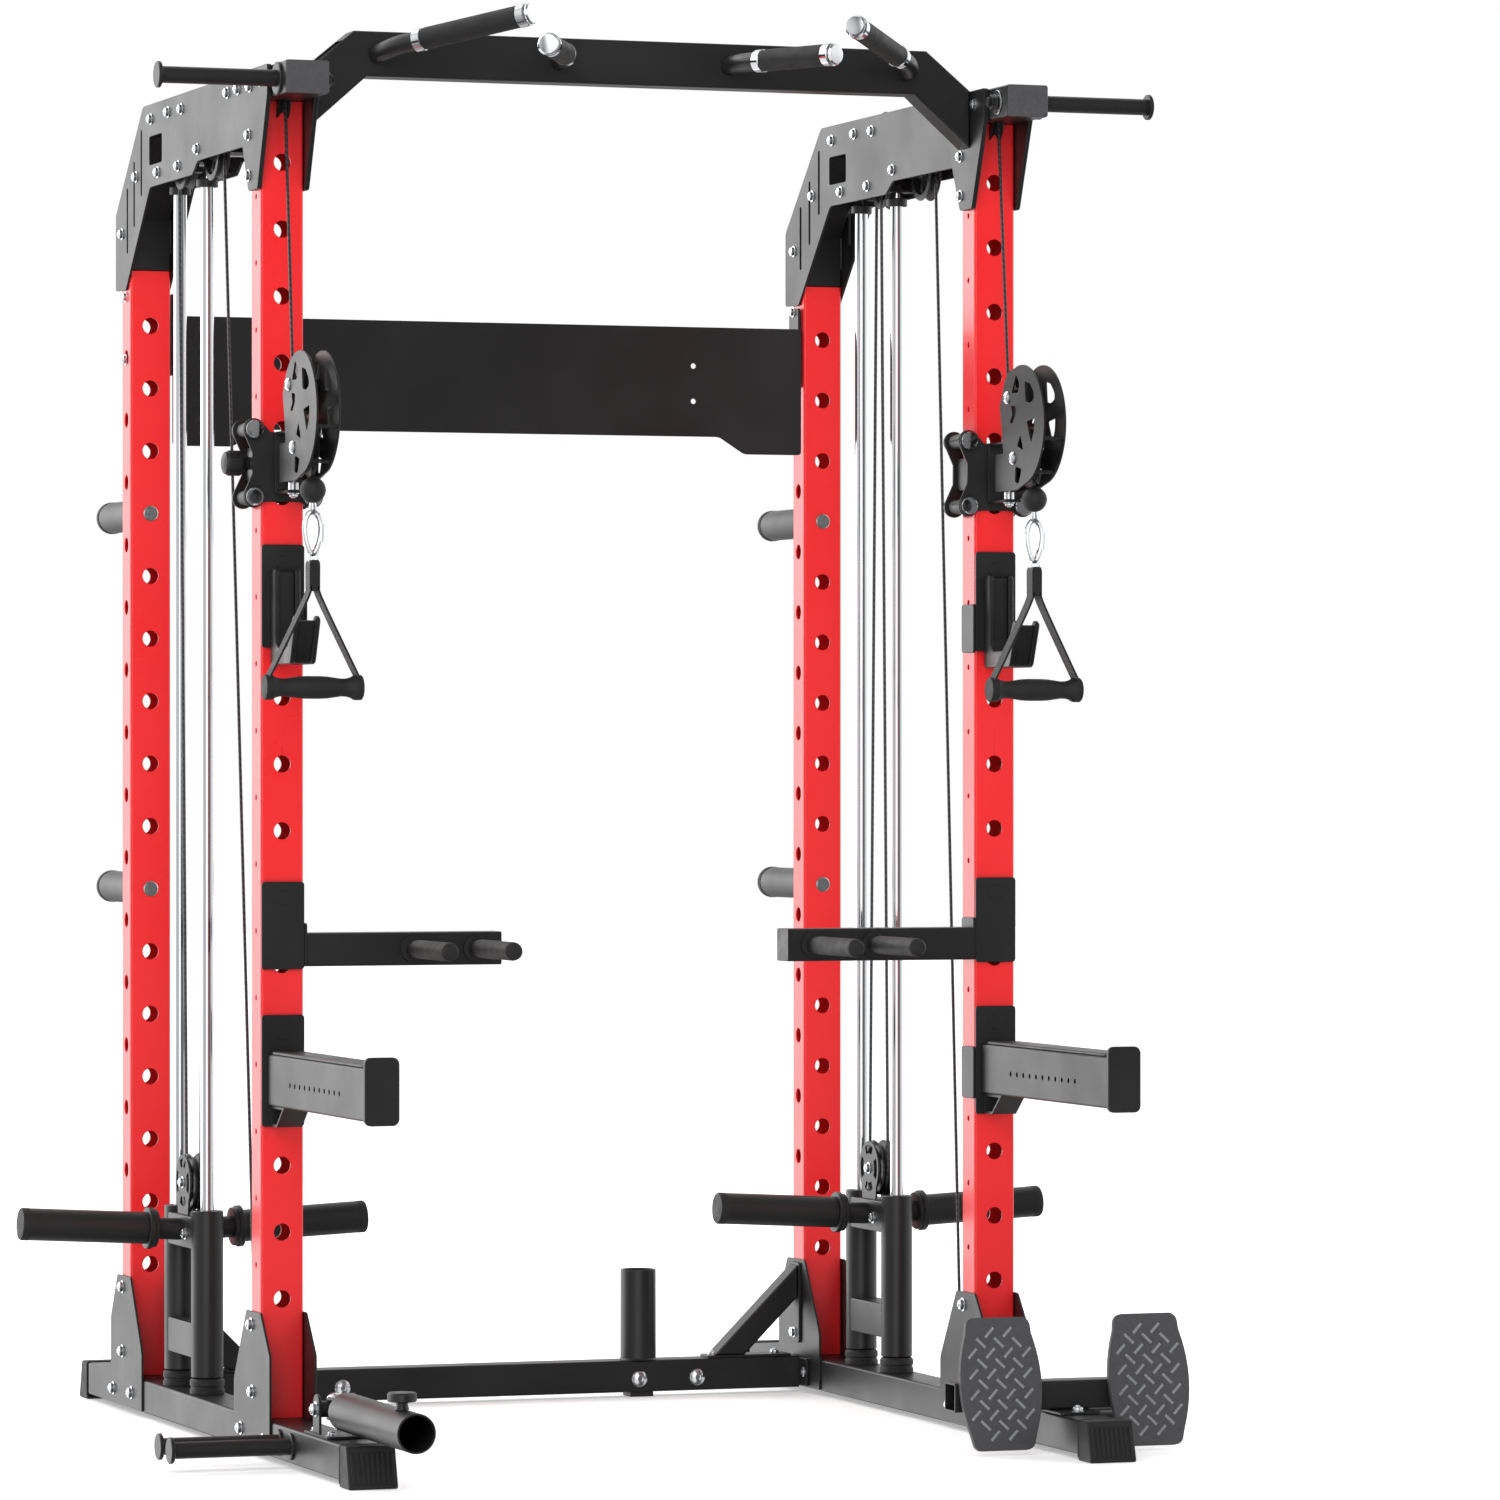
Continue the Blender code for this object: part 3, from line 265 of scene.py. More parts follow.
def red_powder_coat():
    """Polyester powder baked on steel: high gloss with a faint orange peel of 1.5 mm, and a
    clear top that mirrors a bright room at a flat angle."""
    made, tree, shader, place = finish("red_powder_coat", Coat_Weight=0.25, Coat_Roughness=0.12,
                                       IOR=1.5)
    grain(tree, shader, place, ("#D81A1E", "#E02226"), (0.26, 0.36), 0.25, 0.0015, 0.00004)
    return made


def black_powder_coat():
    """Polyester powder, satin black, with the fine even grain of 0.8 mm that hides scuffs."""
    made, tree, shader, place = finish("black_powder_coat", IOR=1.5)
    grain(tree, shader, place, ("#161617", "#1D1D1E"), (0.34, 0.44), 0.12, 0.0008, 0.00003)
    return made


def hard_chrome():
    """Ground steel rod plated with chrome: a mirror with a faint bump in patches of about 20 mm."""
    made, tree, shader, place = finish("hard_chrome", Metallic=1.0)
    grain(tree, shader, place, ("#DDE0E3", "#E8EAEC"), (0.05, 0.11), 0.05, 0.02, 0.00001)
    return made


def zinc_plate():
    """Bright zinc on bolts, nuts and washers: a cool metal with cloudy gloss and fine pits."""
    made, tree, shader, place = finish("zinc_plate", Metallic=1.0)
    grain(tree, shader, place, ("#D2D6D9", "#E6E9EB"), (0.14, 0.26), 0.006, 0.0007, 0.000008)
    return made


def black_coat_painted_lighter():
    """The black coat on tread plate and tube end plugs, greyed as painted light; dull, clouds 6 mm
    across.
    """
    made, tree, shader, place = finish("black_coat_painted_lighter", IOR=1.5)
    grain(tree, shader, place, ("#38383A", "#48484A"), (0.40, 0.55), 0.006, 0.0008, 0.00005)
    return made


def tread_highlight_coat():
    """Powder coat painted light grey on the tread bars: a painted highlight for the light they
    catch.
    """
    made, tree, shader, place = finish("tread_highlight_coat", IOR=1.5, Metallic=0.25)
    grain(tree, shader, place, ("#77787A", "#98999B"), (0.30, 0.45), 0.005, 0.0008, 0.00003)
    return made


def moulded_rubber():
    """Carbon-black rubber from a sparked mould: dull, soft grain of 0.6 mm."""
    made, tree, shader, place = finish("moulded_rubber", IOR=1.52)
    grain(tree, shader, place, ("#121212", "#1B1B1B"), (0.55, 0.70), 0.02, 0.0006, 0.00006)
    return made


def moulded_nylon():
    """Glass-filled nylon for pulleys, knobs and liners: half matt, with flow clouds."""
    made, tree, shader, place = finish("moulded_nylon", IOR=1.53)
    grain(tree, shader, place, ("#141415", "#1D1D1E"), (0.34, 0.50), 0.03, 0.0009, 0.00003)
    return made


def coated_cable():
    """Wire rope in clear black nylon: the lay of its strands shows as a slanting twist of 5 mm."""
    made, tree, shader, place = finish("coated_cable", IOR=1.53)
    twist = add(tree, "ShaderNodeTexWave", {"Vector": place, "Scale": 60.0, "Distortion": 0.0},
                wave_type="BANDS", bands_direction="DIAGONAL")
    tone = add(tree, "ShaderNodeMixRGB", {"Fac": twist.outputs["Fac"], "Color1": linear("#121213"),
                                          "Color2": linear("#333437")})
    bump = add(tree, "ShaderNodeBump",
               {"Height": twist.outputs["Fac"], "Strength": 0.5, "Distance": 0.0002})
    shader.inputs["Roughness"].default_value = 0.32
    tree.links.new(tone.outputs[0], shader.inputs["Base Color"])
    tree.links.new(bump.outputs[0], shader.inputs["Normal"])
    return made


def nylon_webbing():
    """Woven nylon strap: ribs of 1.6 mm across the strap, a dull sheen."""
    made, tree, shader, place = finish("nylon_webbing", Sheen_Weight=0.25, Roughness=0.85)
    warp = add(tree, "ShaderNodeTexWave", {"Vector": place, "Scale": 100.0, "Distortion": 0.4},
               bands_direction="Z")
    weft = add(tree, "ShaderNodeTexWave", {"Vector": place, "Scale": 150.0, "Distortion": 0.2},
               bands_direction="Y")
    cross = add(tree, "ShaderNodeMath", {0: warp.outputs["Fac"], 1: weft.outputs["Fac"]},
                operation="MULTIPLY")
    tone = add(tree, "ShaderNodeMixRGB", {"Fac": cross.outputs[0], "Color1": linear("#0E0E0F"),
                                          "Color2": linear("#2C2C2E")})
    bump = add(tree, "ShaderNodeBump",
               {"Height": cross.outputs[0], "Strength": 0.8, "Distance": 0.0004})
    tree.links.new(tone.outputs[0], shader.inputs["Base Color"])
    tree.links.new(bump.outputs[0], shader.inputs["Normal"])
    return made


def pale_floor():
    """Seamless white paper under and behind the rack, lit a little from below."""
    made, tree, shader, place = finish("pale_floor", Roughness=0.6, Emission_Strength=0.35,
                                       Emission_Color=(1, 1, 1, 1))
    grain(tree, shader, place, ("#FAFAFA", "#FDFDFD"), (0.55, 0.65), 1.5, 0.02, 0.00002)
    return made


PAINTS = {"red": red_powder_coat(), "black": black_powder_coat(), "chrome": hard_chrome(),
          # Painted light: the lighter grey coat stands in for the light that the tilted foot plates
          # reflect.
          "painted_light_grey": black_coat_painted_lighter(),
          # Painted highlight: the light grey coat stands in for the light that the tread bars
          # catch.
          "painted_highlight": tread_highlight_coat(),
          "zinc": zinc_plate(), "rubber": moulded_rubber(), "nylon": moulded_nylon(),
          "cable": coated_cable(), "webbing": nylon_webbing(), "floor": pale_floor()}


# --- modelling ------------------------------------------------------------------------
def clear():
    bpy.ops.object.select_all(action="DESELECT")


def pick(*pieces):
    """Only these selected, the first of them active."""
    clear()
    for piece in pieces:
        piece.select_set(True)
    bpy.context.view_layer.objects.active = pieces[0]


def edit(piece):
    pick(piece)
    bpy.ops.object.mode_set(mode="EDIT")
    bpy.ops.mesh.select_all(action="SELECT")


def leave():
    bpy.ops.object.mode_set(mode="OBJECT")


def modify(piece, kind, **settings):
    """A modifier, applied at once."""
    pick(piece)
    made = piece.modifiers.new("shape", kind)
    for name, value in settings.items():
        setattr(made, name, value)
    bpy.ops.object.modifier_apply(modifier=made.name)
    return piece


def round_edges(piece, width, segments=1, angle=30):
    return modify(piece, "BEVEL", width=width, segments=segments, limit_method="ANGLE",
                  angle_limit=math.radians(angle))


def join(*pieces):
    pick(*pieces)
    if len(pieces) > 1:
        bpy.ops.object.join()
    return bpy.context.object


def cut(piece, tool, operation="DIFFERENCE"):
    modify(piece, "BOOLEAN", operation=operation, object=tool, solver="EXACT")
    pick(tool)
    bpy.ops.object.delete()
    return piece


def copy(piece, matrix):
    pick(piece)
    bpy.ops.object.duplicate()
    twin = bpy.context.object
    twin.data.transform(matrix)
    return twin


def shift(piece, x=0.0, y=0.0, z=0.0):
    piece.data.transform(Matrix.Translation((x, y, z)))
    return piece


def lift(axis, u, v, w):
    """A point of an outline (u, v), w along the axis; outlines are YZ, XZ or XY."""
    return {"X": (w, u, v), "Y": (u, w, v), "Z": (u, v, w)}[axis]


def turn_to(axis):
    """Turns a piece made along Z so that it lies along another axis."""
    return {"X": Matrix.Rotation(math.pi / 2, 4, "Y"), "Y": Matrix.Rotation(-math.pi / 2, 4, "X"),
            "Z": Matrix.Identity(4)}[axis]


def block(low, high, edge=0.0):
    clear()
    size = [abs(b - a) for a, b in zip(low, high)]
    middle = [(a + b) / 2 for a, b in zip(low, high)]
    bpy.ops.mesh.primitive_cube_add(size=1, location=middle, scale=size)
    piece = bpy.context.object
    bpy.ops.object.transform_apply(location=True, rotation=True, scale=True)
    if edge:
        round_edges(piece, edge, 2)
    return piece


def outline_mesh(axis, outline, low, fill):
    clear()
    bpy.ops.mesh.primitive_circle_add(vertices=len(outline), radius=1, fill_type=fill)
    piece = bpy.context.object
    for corner, (u, v) in zip(piece.data.vertices, outline):
        corner.co = lift(axis, u, v, low)
    return piece


def plate(axis, outline, low, high, edge=0.0005):
    """A sheet cut to an outline, from low to high along the axis."""
    low, high = sorted((low, high))
    piece = outline_mesh(axis, outline, low, "NGON")
    edit(piece)
    bpy.ops.mesh.extrude_region_move(TRANSFORM_OT_translate={"value": lift(axis, 0, 0, high - low)})
    bpy.ops.mesh.select_all(action="SELECT")
    bpy.ops.mesh.normals_make_consistent(inside=False)
    leave()
    if edge:
        round_edges(piece, edge)
    return piece


def tube(axis, u, v, wall, low, high, corner=TUBE_CORNER):
    """A square steel tube with rounded corners and open ends."""
    low, high = sorted((low, high))
    piece = outline_mesh(axis, rounded(u, v, corner), low, "NOTHING")
    edit(piece)
    bpy.ops.mesh.extrude_region_move(TRANSFORM_OT_translate={"value": lift(axis, 0, 0, high - low)})
    bpy.ops.mesh.select_all(action="SELECT")
    bpy.ops.mesh.normals_make_consistent(inside=False)
    leave()
    return modify(piece, "SOLIDIFY", thickness=wall, offset=-1.0)


def turned(axis, centre, profile, steps=32, way=1):
    """A solid of revolution: profile is (along, radius) from end to end; a profile that ends
    off the axis is closed to it, one whose ends meet is a ring."""
    ring = profile[0] == profile[-1]
    points = list(profile[:-1]) if ring else [(profile[0][0], 0.0), *profile, (profile[-1][0], 0.0)]
    points = [p for i, p in enumerate(points) if i == 0 or p != points[i - 1]]
    piece = outline_mesh("Y", [(r, a * way) for a, r in points], 0.0, "NOTHING")
    edit(piece)
    bpy.ops.mesh.spin(steps=steps, angle=2 * math.pi, center=(0, 0, 0), axis=(0, 0, 1))
    bpy.ops.mesh.select_all(action="SELECT")
    bpy.ops.mesh.remove_doubles(threshold=1e-6)
    bpy.ops.mesh.delete_loose()
    bpy.ops.mesh.select_all(action="SELECT")
    bpy.ops.mesh.normals_make_consistent(inside=False)
    leave()
    piece.data.transform(Matrix.Translation(centre) @ turn_to(axis))
    return piece


def rod(axis, centre, radius, low, high, edge=0.001, steps=32):
    """A round bar with broken edges; low and high are places along the axis."""
    low, high = sorted((low, high))
    profile = [(low, radius - edge), (low + edge, radius), (high - edge, radius),
               (high, radius - edge)]
    place = [0.0, 0.0, 0.0]
    for name, value in zip([n for n in "XYZ" if n != axis], centre):
        place["XYZ".index(name)] = value
    return turned(axis, place, profile, steps)


def swept(points, radius, sides=16):
    """A round bar, wire or cable along a line of points."""
    clear()
    bpy.ops.curve.primitive_nurbs_path_add()
    guide = bpy.context.object
    guide.matrix_world = Matrix.Identity(4)
    guide.data.splines.clear()
    spline = guide.data.splines.new("POLY")
    spline.points.add(len(points) - 1)
    for target, point in zip(spline.points, points):
        target.co = (*point, 1)
    guide.data.bevel_depth = radius
    guide.data.bevel_resolution = sides // 4 - 1 if sides > 8 else 1
    guide.data.use_fill_caps = True
    guide.data.twist_mode = "MINIMUM"
    pick(guide)
    bpy.ops.object.convert(target="MESH")
    piece = bpy.context.object
    edit(piece)
    bpy.ops.mesh.remove_doubles(threshold=1e-6)
    bpy.ops.mesh.normals_make_consistent(inside=False)
    leave()
    return piece


def circle(centre, radius, sides, turn=0.5):
    steps = [2 * math.pi * (i + turn) / sides for i in range(sides)]
    return [(centre[0] + radius * math.cos(a), centre[1] + radius * math.sin(a)) for a in steps]


def arc(centre, radii, start, end, count):
    """Points of an elliptic arc, both ends included; angles in degrees."""
    steps = [math.radians(start + (end - start) * i / (count - 1)) for i in range(count)]
    return [(centre[0] + radii[0] * math.cos(a), centre[1] + radii[1] * math.sin(a)) for a in steps]


def rounded(u, v, radius, count=5):
    """A rectangle with round corners."""
    points = []
    for cu, cv, start in ((u[1] - radius, v[0] + radius, -90), (u[1] - radius, v[1] - radius, 0),
                          (u[0] + radius, v[1] - radius, 90), (u[0] + radius, v[0] + radius, 180)):
        points += arc((cu, cv), (radius, radius), start, start + 90, count)
    return points


def soften(outline, radius, count=4):
    """The outline with its corners rounded, each by no more than a third of its sides."""
    points = []
    for i, (u, v) in enumerate(outline):
        here = Vector((u, v))
        back = Vector(outline[i - 1]) - here
        onward = Vector(outline[(i + 1) % len(outline)]) - here
        a = here + back.normalized() * min(radius, back.length / 3)
        b = here + onward.normalized() * min(radius, onward.length / 3)
        for k in range(count):
            t = k / (count - 1)
            points.append(tuple(a * (1 - t) ** 2 + here * 2 * t * (1 - t) + b * t ** 2))
    return points


def smooth_line(points, steps=6):
    """A smooth line through the points."""
    line = []
    for i in range(len(points) - 1):
        p0, p1, p2, p3 = (Vector(points[max(0, min(len(points) - 1, i + k))])
                          for k in (-1, 0, 1, 2))
        for k in range(steps):
            t = k / steps
            line.append(
                tuple(0.5 * (2 * p1 + (p2 - p0) * t + (2 * p0 - 5 * p1 + 4 * p2 - p3) * t * t
                                     + (3 * p1 - p0 - 3 * p2 + p3) * t ** 3)))
    return [*line, tuple(points[-1])]


def seat(piece, name, paint, body, *stands_for, blend=None):
    """Puts a finished piece in the frame's place, paints it and fixes it to its body."""
    piece.name = name
    piece.data.name = name
    shift(piece, y=FRONT)
    pick(piece)
    bpy.ops.object.shade_smooth_by_angle(angle=math.radians(32))
    modify(piece, "WEIGHTED_NORMAL", keep_sharp=True, weight=80)
    piece.data.materials.clear()
    piece.data.materials.append(PAINTS[paint])
    if blend:
        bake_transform(piece)
    else:
        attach(piece, body)
    if stands_for:
        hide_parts(*stands_for)
    return piece


# --- bolts ----------------------------------------------------------------------------
def lock_nut(size=0.0085):
    """Flange, hexagon and the end of the bolt in it, standing on Z = 0."""
    flange = turned("Z", (0, 0, 0),
                    [(0, size * 1.12), (0.0012, size * 1.12), (0.0018, size * 0.95)], 24)
    hexagon = plate("Z", circle((0, 0), size * 0.94, 6), 0.0015, 0.0015 + size * 0.52, 0.0009)
    collar = turned("Z", (0, 0, 0),
                    [(0.0014 + size * 0.45, size * 0.70), (size * 0.72, size * 0.66),
                                     (size * 0.80, size * 0.50)], 20)
    stud = turned("Z", (0, 0, 0), [(size * 0.75, size * 0.40), (size * 0.90, size * 0.40),
                                   (size * 0.96, size * 0.30)], 16)
    return join(flange, hexagon, collar, stud)


def dome_head(size=0.0125):
    """A round bolt head with its socket, standing on Z = 0."""
    head = turned("Z", (0, 0, 0),
                  [(0, size), (0.0016, size), (0.0038, size * 0.86), (0.0058, size * 0.55),
                                   (0.0064, size * 0.36), (0.0034, size * 0.34)], 24)
    return head


def bolts(name, body, kind, axis, way, places, size):
    """The same bolt at each place, facing the given way along the axis."""
    model = lock_nut(size) if kind == "nut" else dome_head(size)
    turn = turn_to(axis) if way > 0 else turn_to(axis) @ Matrix.Rotation(math.pi, 4, "X")
    made = [copy(model, Matrix.Translation(place) @ turn) for place in places]
    pick(model)
    bpy.ops.object.delete()
    return seat(join(*made), name, "zinc", body)


# --- frame ----------------------------------------------------------------------------
def hole_z(index):
    return FIRST_HOLE - index * HOLE_PITCH


def drill(piece, axis, places, radius, low, high, steps=32):
    """Round holes at (u, v) places, cut in one go."""
    rods = []
    for u, v in places:
        rods.append(rod(axis, (u, v), radius, low, high, 0.0, steps))
    return cut(piece, join(*rods))


def uprights(side, sign):
    x = sign * TOWER_X
    outer = x + sign * HALF_W
    for name, y, top, drop, storage, small in (("front", 0.0, HEAD_Z - GAP, 0.050, (), 0.0045),
                                               ("rear", DEPTH, REAR_TOP - GAP, 0.050, STORAGE_HOLES,
                                                0.012)):
        piece = tube("Z", (x - HALF_W, x + HALF_W), (y, y + UP_D), UP_WALL, RAIL_TOP + GAP, top)
        places = [(x, hole_z(i)) for i in range(HOLE_COUNT) if i not in storage
                  and hole_z(i) + 0.03 < top]
        piece = drill(piece, "Y", places, HOLE_R, y - 0.01, y + UP_D + 0.01)
        sides = [(y + UP_D / 2, hole_z(i) - drop) for i in range(HOLE_COUNT)
                 if SHOE_TOP + 0.03 < hole_z(i) - drop < top - 0.08]
        piece = drill(piece, "X", sides, small, x - HALF_W - 0.01, x + HALF_W + 0.01, 24)
        round_edges(piece, 0.0004, 1, 60)
        seat(piece, f"{name}_post_{side}", "red", "frame", f"{name}_upright_{side}")
    storage_pegs(side, x)
    return outer


def storage_pegs(side, x):
    """Two pegs behind the rear upright, their bolts seen in its holes, and a cap on each tip."""
    back = DEPTH + UP_D
    pegs, discs, caps = [], [], []
    for i in STORAGE_HOLES:
        z = hole_z(i)
        pegs.append(turned("Y", (x, 0, z), [(back + 0.0002, PEG_R), (back + 0.0022, PEG_R + 0.0012),
                                            (back + 0.004, PEG_R),
                                            (back + STORAGE_REACH - 0.014, PEG_R),
                                            (back + STORAGE_REACH - 0.014, PEG_R - 0.003),
                                            (back + 0.0002, PEG_R - 0.003), (back + 0.0002, PEG_R)],
                                            40))
        discs.append(turned("Y", (x, 0, z), [(DEPTH - 0.0035, 0.0080), (DEPTH - 0.0035, 0.0105),
                                             (DEPTH - 0.0020, 0.0122), (DEPTH + 0.0030, 0.0124)],
                                             32))
        caps.append(turned("Y", (x, 0, z), [(back + STORAGE_REACH - 0.0139, PEG_R - 0.0035),
                                            (back + STORAGE_REACH - 0.0139, PEG_R + 0.0008),
                                            (back + STORAGE_REACH - 0.003, PEG_R + 0.0008),
                                            (back + STORAGE_REACH + 0.001, PEG_R - 0.003),
                                            (back + STORAGE_REACH + 0.0015, PEG_R - 0.012)], 40))
    seat(join(*pegs), f"storage_pegs_{side}", "black", "frame")
    seat(join(*discs), f"storage_peg_bolts_{side}", "zinc", "frame")
    seat(join(*caps), f"storage_peg_caps_{side}", "rubber", "frame")


def shoe_outlines():
    low = RAIL_BOTTOM + 0.002
    front = [(-0.060, low), (0.139, low), (0.139, 0.110), (UP_D + 0.0155, SHOE_TOP),
             (-0.0085, SHOE_TOP), (-0.060, 0.157)]
    rear = [(DEPTH - 0.083, low), (RAIL_REAR - 0.010, low), (RAIL_REAR - 0.010, RAIL_TOP),
            (DEPTH + 0.112, 0.073), (DEPTH + 0.112, 0.147), (DEPTH + 0.071, SHOE_TOP),
            (DEPTH - 0.011, SHOE_TOP), (DEPTH - 0.075, 0.116), (DEPTH - 0.083, 0.100)]
    return front, rear


SHOE_BOLTS = ((0.041, 0.198), (0.034, 0.098), (0.099, 0.038), (-0.023, 0.030),
              (0.810, 0.200), (0.810, 0.097), (0.868, 0.033), (0.753, 0.035))


def side_peg(centre, start, x, sign, root=0.0200):
    """A bar for bands: a flange at its root and a disc at its end."""
    end = x + sign * SIDE_BAR_REACH
    reach = abs(end - start)
    profile = [(0, root), (0.0035, root), (0.0045, root - 0.0015), (0.0045, SIDE_BAR_R),
               (reach - 0.004, SIDE_BAR_R),
               (reach - 0.004, 0.0185), (reach - 0.0030, 0.0195), (reach + 0.0010, 0.0195),
               (reach + 0.002, 0.0182)]
    return turned("X", (start, *centre), profile, 36, 1) if sign > 0 else \
        turned("X", (start, *centre), [(-a, r) for a, r in profile], 36, 1)


def base_rails(side, sign):
    x = sign * TOWER_X
    rail = tube("Y", (x - RAIL_HALF, x + RAIL_HALF), (RAIL_BOTTOM, RAIL_TOP), 0.003, RAIL_FRONT,
                RAIL_REAR)
    round_edges(rail, 0.0004, 1, 60)
    seat(rail, f"rail_{side}", "black", "frame", f"base_rail_{side}")
    front, rear = shoe_outlines()
    shoes = []
    for outline in (front, rear):
        for k in (-1, 1):
            shoes.append(
                plate("X", soften(outline, 0.004), x + k * PLATE_IN, x + k * PLATE_OUT, 0.0006))
    seat(join(*shoes), f"shoe_plates_{side}", "black", "frame")
    middle = (RAIL_BOTTOM + RAIL_TOP) / 2
    start = x + sign * (RAIL_HALF + TOUCH)
    seat(join(*[side_peg((y, middle), start, x, sign) for y in BAND_PEG_Y]), f"band_pegs_{side}",
         "black", "frame")
    for place, way in (("outer", sign), ("inner", -sign)):
        face = x + way * PLATE_OUT
        bolts(f"shoe_bolts_{place}_{side}", "frame", "nut", "X", way,
              [(face, y, z) for y, z in SHOE_BOLTS], 0.0095)
    foot_caps(side, x)
    if side == "left":
        landmine_bracket(x)


def foot_caps(side, x):
    """Ribbed rubber wedges on the ends of the rail."""
    for end, face, way in (("front", RAIL_FRONT, -1), ("rear", RAIL_REAR, 1)):
        near = face + way * GAP
        far = face + way * 0.052
        top_far = face + way * 0.036
        wedge = [(near, 0), (far, 0), (far - way * 0.0003, 0.004), (top_far, RAIL_TOP + 0.001),
                 (near, RAIL_TOP + 0.001)]
        body = plate("X", wedge, x - RAIL_HALF - 0.0035, x + RAIL_HALF + 0.0035, 0.0)
        round_edges(body, 0.003, 3, 40)
        ribs = []
        lean = (far - top_far) / (RAIL_TOP + 0.001)
        for i in range(9):
            rib_x = x + (i - 4) * 0.0076
            low_y, high_y = far - lean * 0.006, far - lean * 0.052
            rib = [(low_y - way * 0.002, 0.006), (low_y + way * 0.0022, 0.006),
                   (high_y + way * 0.0022, 0.052),
                   (high_y - way * 0.002, 0.052)]
            ribs.append(plate("X", rib, rib_x - 0.0021, rib_x + 0.0021, 0.0008))
        plug = block((x - RAIL_HALF + 0.0034, near + way * 0.001, RAIL_BOTTOM + 0.0034),
                     (x + RAIL_HALF - 0.0034, face - way * 0.035, RAIL_TOP - 0.0034), 0.002)
        lip = plate("Y",
                    rounded((x - RAIL_HALF - 0.0042, x + RAIL_HALF + 0.0042),
                            (0.0035, RAIL_TOP + 0.0016), 0.004),
                    near, near + way * 0.004, 0.0008)
        seat(join(body, plug, lip, *ribs), f"rubber_foot_{end}_{side}", "rubber", "frame",
             f"foot_cap_{end}_{side}")


def crossmember():
    end = INNER_FACE - GAP
    front = DEPTH + 0.001
    middle = front + CROSS_D / 2
    beam = tube("X", (front, front + CROSS_D), (RAIL_BOTTOM, RAIL_TOP), 0.003, -end + 0.0035,
                end - 0.0035)
    foot = block((HOLDER_X - 0.02, middle - 0.02, 0.0),
                 (HOLDER_X + 0.02, middle + 0.02, RAIL_BOTTOM - TOUCH), 0.001)
    seat(beam, "crossmember", "black", "frame", "rear_crossmember")
    seat(foot, "crossmember_foot", "rubber", "frame")
    holder = turned("Z", (HOLDER_X, middle, 0),
                    [(RAIL_TOP + TOUCH, 0.0315), (RAIL_TOP + 0.003, 0.0292),
                     (HOLDER_TOP - 0.001, 0.0290),
                     (HOLDER_TOP, 0.0284), (HOLDER_TOP, 0.0266), (HOLDER_TOP - 0.001, 0.0260),
                     (RAIL_TOP + TOUCH, 0.0260), (RAIL_TOP + TOUCH, 0.0315)], 48)
    seat(holder, "bar_holder", "black", "frame")
    heads = [(u, front, 0.030) for u in (-0.353, -0.253, 0.253, 0.353)]
    bolts("crossmember_bolts", "frame", "dome", "Y", -1, heads, 0.0135)
    for side, sign in SIDES:
        braces(side, sign, end, middle)


def braces(side, sign, end, middle):
    flange = rounded((DEPTH - 0.034, DEPTH + 0.106), (RAIL_BOTTOM + 0.004, RAIL_TOP - 0.003), 0.004)
    end_plate = plate("X", flange, sign * end, sign * (end - 0.004))
    foot_out = end - 0.017
    foot = plate("Z", rounded(sorted((sign * foot_out, sign * (foot_out - 0.145))),
                              (middle - 0.023, middle + 0.023), 0.005), RAIL_TOP + TOUCH,
                              RAIL_TOP + 0.004)
    wall = plate("X", rounded((middle - 0.023, middle + 0.023), (0.081, 0.213), 0.005), sign * end,
                 sign * (end - 0.004))
    low, high = RAIL_TOP + 0.004, RAIL_TOP + 0.150
    wide = 0.038 * math.sqrt(2)
    edge = end - 0.004
    strut = [(sign * edge, high), (sign * edge, high - wide), (sign * (edge - 0.146 + wide), low),
             (sign * (edge - 0.146), low)]
    box_strut = plate("Y", strut, middle - 0.019, middle + 0.019, 0.0)
    round_edges(box_strut, 0.003, 3, 50)
    seat(join(end_plate, foot, wall, box_strut), f"brace_{side}", "black", "frame")
    tops = [(sign * u, middle, RAIL_TOP + 0.004) for u in (0.388, 0.497)]
    bolts(f"brace_foot_bolts_{side}", "frame", "nut", "Z", 1, tops, 0.0080)
    walls = [(sign * (end - 0.004), middle, z) for z in (0.198, 0.097)]
    bolts(f"brace_wall_bolts_{side}", "frame", "nut", "X", -sign, walls, 0.0080)


def beam_outline(inset=0.0, open_end=0.0):
    back = DEPTH + UP_D
    foot = REAR_TOP - open_end
    return [(BEAM_FRONT - open_end, HEAD_Z + inset), (DEPTH - 0.118, HEAD_Z + inset),
            (DEPTH + inset, REAR_TOP + 0.079 + inset / 2), (DEPTH + inset, foot),
            (back - inset, foot), (back - inset, REAR_TOP + 0.099 - inset / 2),
            (DEPTH - 0.093 - inset / 2, BEAM_TOP - inset),
            (BEAM_FRONT - open_end, BEAM_TOP - inset)]


